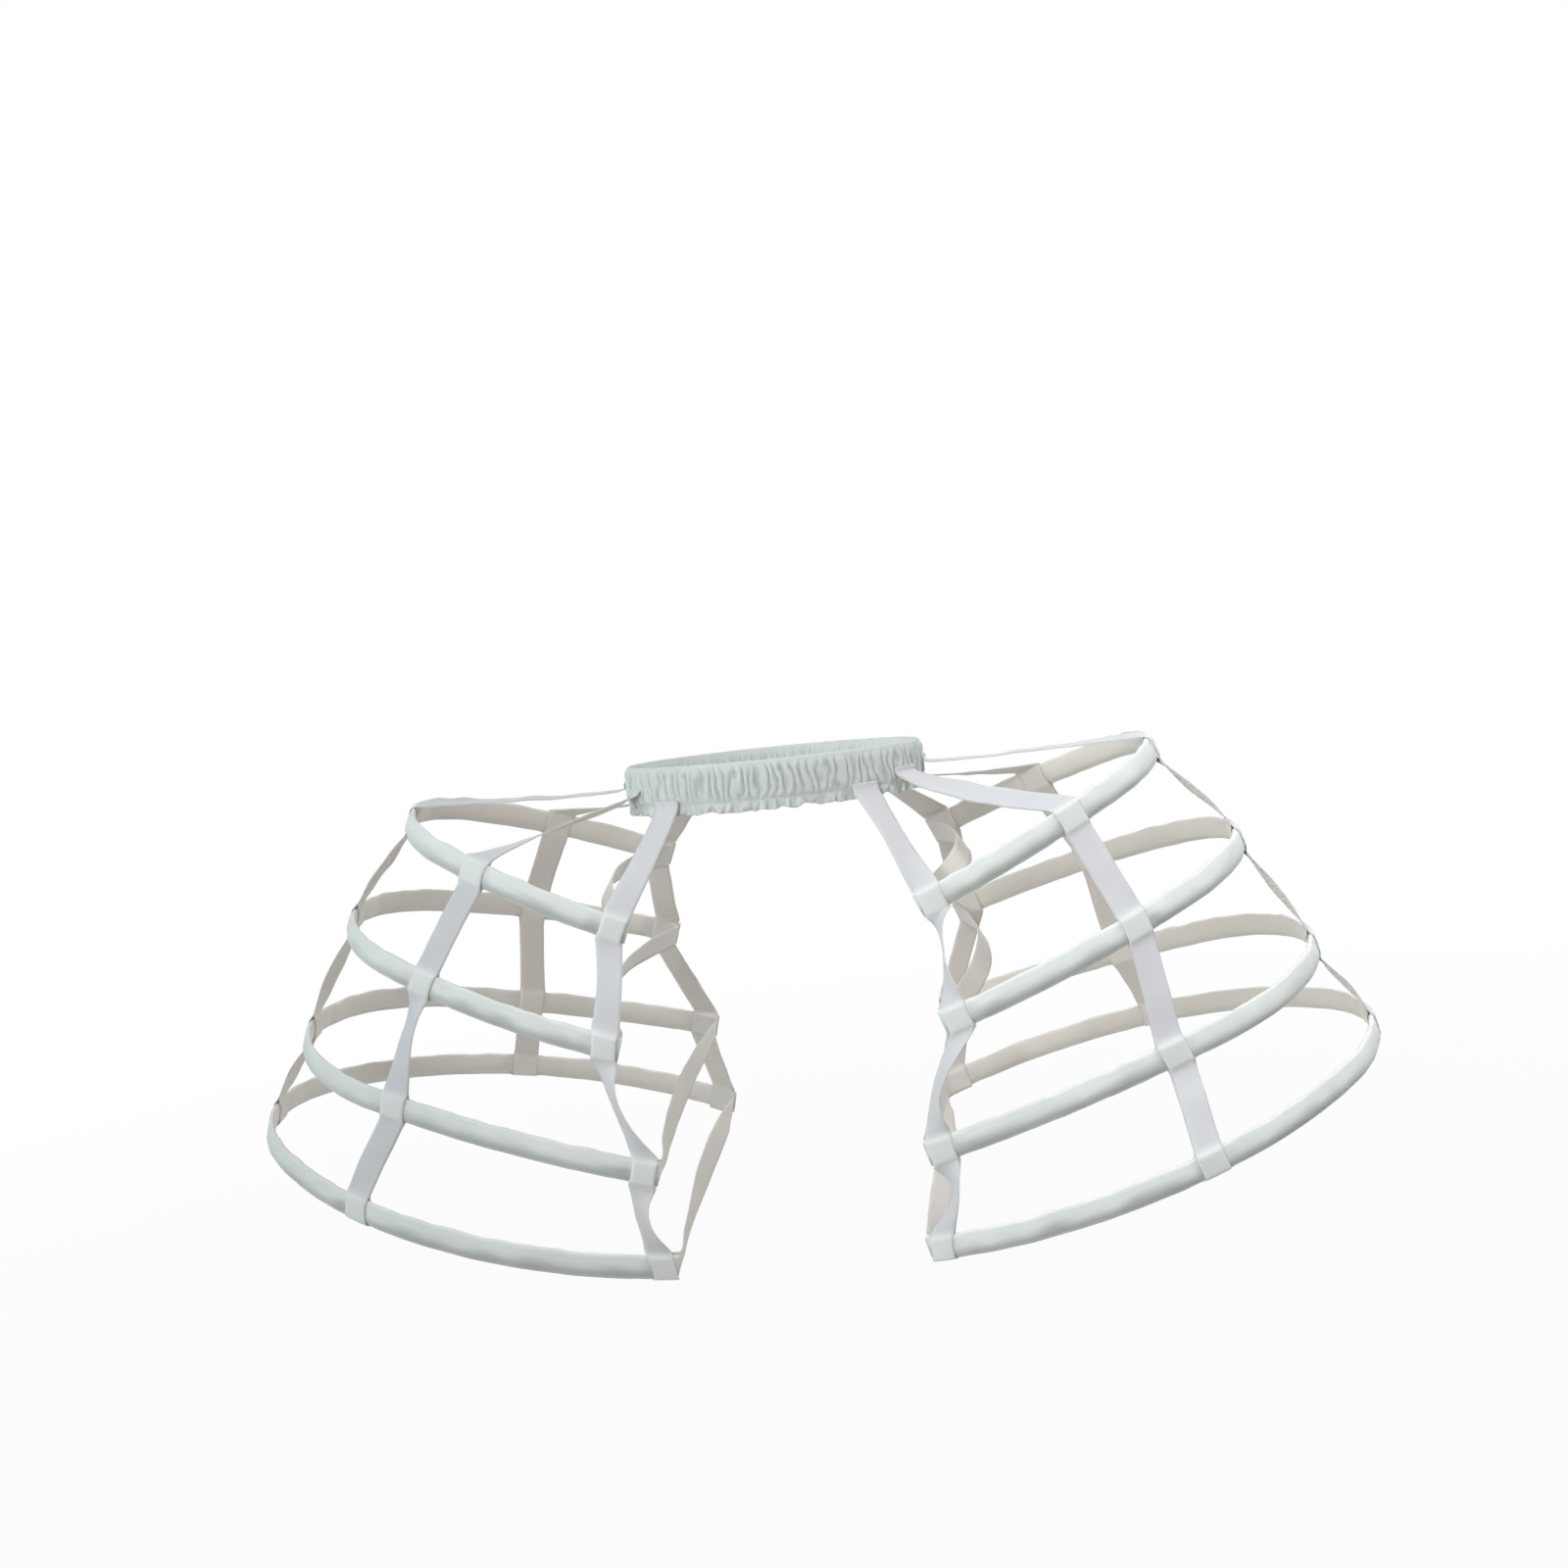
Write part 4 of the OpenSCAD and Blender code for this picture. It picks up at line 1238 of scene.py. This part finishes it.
class CAGE_OT_stage(bpy.types.Operator):
    """Sets up the camera, the soft light, the white surround and the pale floor"""
    bl_idname = "cage.stage"
    bl_label = "Stage"

    def execute(self, context):
        scene = context.scene
        scene.view_settings.view_transform = "Standard"
        lens = bpy.data.cameras.new("camera")
        lens.sensor_fit, lens.sensor_width, lens.lens = "HORIZONTAL", SENSOR_WIDTH, LENS
        camera = bpy.data.objects.new("camera", lens)
        context.collection.objects.link(camera)
        camera.matrix_world = look_from(Vector(CAMERA_PLACE), CAMERA_PAN, CAMERA_TILT, CAMERA_ROLL)
        scene.camera = camera
        for name, lamp in LAMPS.items():
            add_lamp(name, *lamp)
        world = scene.world or bpy.data.worlds.new("surround")
        scene.world = world
        world.use_nodes = True
        tree = world.node_tree
        tree.nodes.clear()
        room = add_node(tree, "ShaderNodeBackground", {"Color": ROOM_TINT, "Strength": ROOM_LEVEL})
        white = add_node(tree, "ShaderNodeBackground", {"Color": WHITE, "Strength": 1.0})
        mixed = add_node(tree, "ShaderNodeMixShader", {
            0: plain_ray(tree), 1: room.outputs[0], 2: white.outputs[0]})
        add_node(tree, "ShaderNodeOutputWorld", {"Surface": mixed.outputs[0]})
        self.add_floor()
        return {"FINISHED"}

    def add_floor(self):
        square = ((-1, -1), (1, -1), (1, 1), (-1, 1))
        corners = [(x * FLOOR_HALF, y * FLOOR_HALF, FLOOR_LEVEL) for x, y in square]
        mesh = bpy.data.meshes.new("floor")
        mesh.from_pydata(corners, [], [(0, 1, 2, 3)])
        pale = bpy.data.materials.new("pale_floor")
        pale.use_nodes = True
        tree = pale.node_tree
        tree.nodes.clear()
        matte = add_node(tree, "ShaderNodeBsdfDiffuse", {"Color": (*colour_of("floor"), 1)})
        white = add_node(tree, "ShaderNodeEmission", {"Color": WHITE, "Strength": 1.0})
        place = add_node(tree, "ShaderNodeTexCoord").outputs["Object"]
        away = add_node(tree, "ShaderNodeVectorMath", {0: place}, operation="LENGTH").outputs["Value"]
        fade = add_node(tree, "ShaderNodeMapRange", {
            "Value": away, "From Min": FLOOR_FADE[0], "From Max": FLOOR_FADE[1],
            "To Min": FLOOR_WHITE[0], "To Max": FLOOR_WHITE[1]})
        amount = math_node(tree, "MULTIPLY", plain_ray(tree), fade.outputs[0])
        mixed = add_node(tree, "ShaderNodeMixShader", {
            0: amount, 1: matte.outputs[0], 2: white.outputs[0]})
        add_node(tree, "ShaderNodeOutputMaterial", {"Surface": mixed.outputs[0]})
        floor = add_object(mesh, pale)


class CAGE_OT_inside(bpy.types.Operator):
    """Finishes the elastic and the hoop steels, which keep their own shapes"""
    bl_idname = "cage.inside"
    bl_label = "Elastic and steels"

    def execute(self, context):
        for name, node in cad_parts.items():
            if name == "waist_elastic" or "_hoop_steel_" in name:
                look = elastic_finish() if name == "waist_elastic" else steel_finish()
                node.data.materials.clear()
                node.data.materials.append(look)
        return {"FINISHED"}


class CAGE_OT_casings(bpy.types.Operator):
    """Makes the eight hoop casings of smooth cotton"""
    bl_idname = "cage.casings"
    bl_label = "Hoop casings"

    def execute(self, context):
        for side in SIDES:
            for i in range(HOOPS):
                make_casing(side, i)
        return {"FINISHED"}


class CAGE_OT_waistband(bpy.types.Operator):
    """Makes the gathered waistband with its frill"""
    bl_idname = "cage.waistband"
    bl_label = "Waistband"

    def execute(self, context):
        make_band()
        return {"FINISHED"}


class CAGE_OT_tapes(bpy.types.Operator):
    """Makes the ten long tapes with a pocket round every hoop"""
    bl_idname = "cage.tapes"
    bl_label = "Long tapes"

    def execute(self, context):
        for side in SIDES:
            for k in range(len(TAPES)):
                TapeMaker(side, k).build()
        return {"FINISHED"}


class CAGE_OT_ties(bpy.types.Operator):
    """Makes the eight ties from the front end of a hoop to its back end"""
    bl_idname = "cage.ties"
    bl_label = "Ties"

    def execute(self, context):
        for side in SIDES:
            for i in range(HOOPS):
                make_tie(side, i)
        return {"FINISHED"}


class CAGE_OT_stitching(bpy.types.Operator):
    """Sews the stitch rows of the casings, the tape pockets, the ties and the waistband"""
    bl_idname = "cage.stitching"
    bl_label = "Stitching"

    def execute(self, context):
        for number, (place, rows) in enumerate(STITCHES.items()):
            slot = place.split("_")[-1] + "_cotton"
            if not rows:
                raise RuntimeError(f"no stitch rows for {place}: make the cloth first")
            sew(place + "_stitches", rows, slot, number)
        return {"FINISHED"}


class CAGE_PT_panel(bpy.types.Panel):
    """Lists the steps of the cage in the sidebar"""
    bl_idname = "CAGE_PT_panel"
    bl_label = "Crinoline cage"
    bl_space_type = "VIEW_3D"
    bl_region_type = "UI"
    bl_category = "Cage"

    def draw(self, context):
        for step in STEPS:
            self.layout.operator(step.bl_idname)
        for group in GROUPS:
            held = getattr(context.scene, group)
            for key in held.__annotations__:
                self.layout.prop(held, key)


GROUPS = {
    "cage_band": CageBandSizes, "cage_hoop": CageHoopSizes, "cage_tape": CageTapeSizes,
    "cage_thread": CageThreadSizes, "cage_colour": CageColours}
STEPS = (CAGE_OT_stage, CAGE_OT_inside, CAGE_OT_casings, CAGE_OT_waistband, CAGE_OT_tapes,
         CAGE_OT_ties, CAGE_OT_stitching)


def register():
    for kind in (*GROUPS.values(), *STEPS, CAGE_PT_panel):
        bpy.utils.register_class(kind)
    for name, kind in GROUPS.items():
        setattr(bpy.types.Scene, name, PointerProperty(type=kind))


def unregister():
    for name in GROUPS:
        delattr(bpy.types.Scene, name)
    for kind in (CAGE_PT_panel, *reversed(STEPS), *reversed(list(GROUPS.values()))):
        bpy.utils.unregister_class(kind)


def main():
    register()
    for step in STEPS:
        family, name = step.bl_idname.split(".")
        getattr(getattr(bpy.ops, family), name)()


if __name__ == "__main__":
    main()
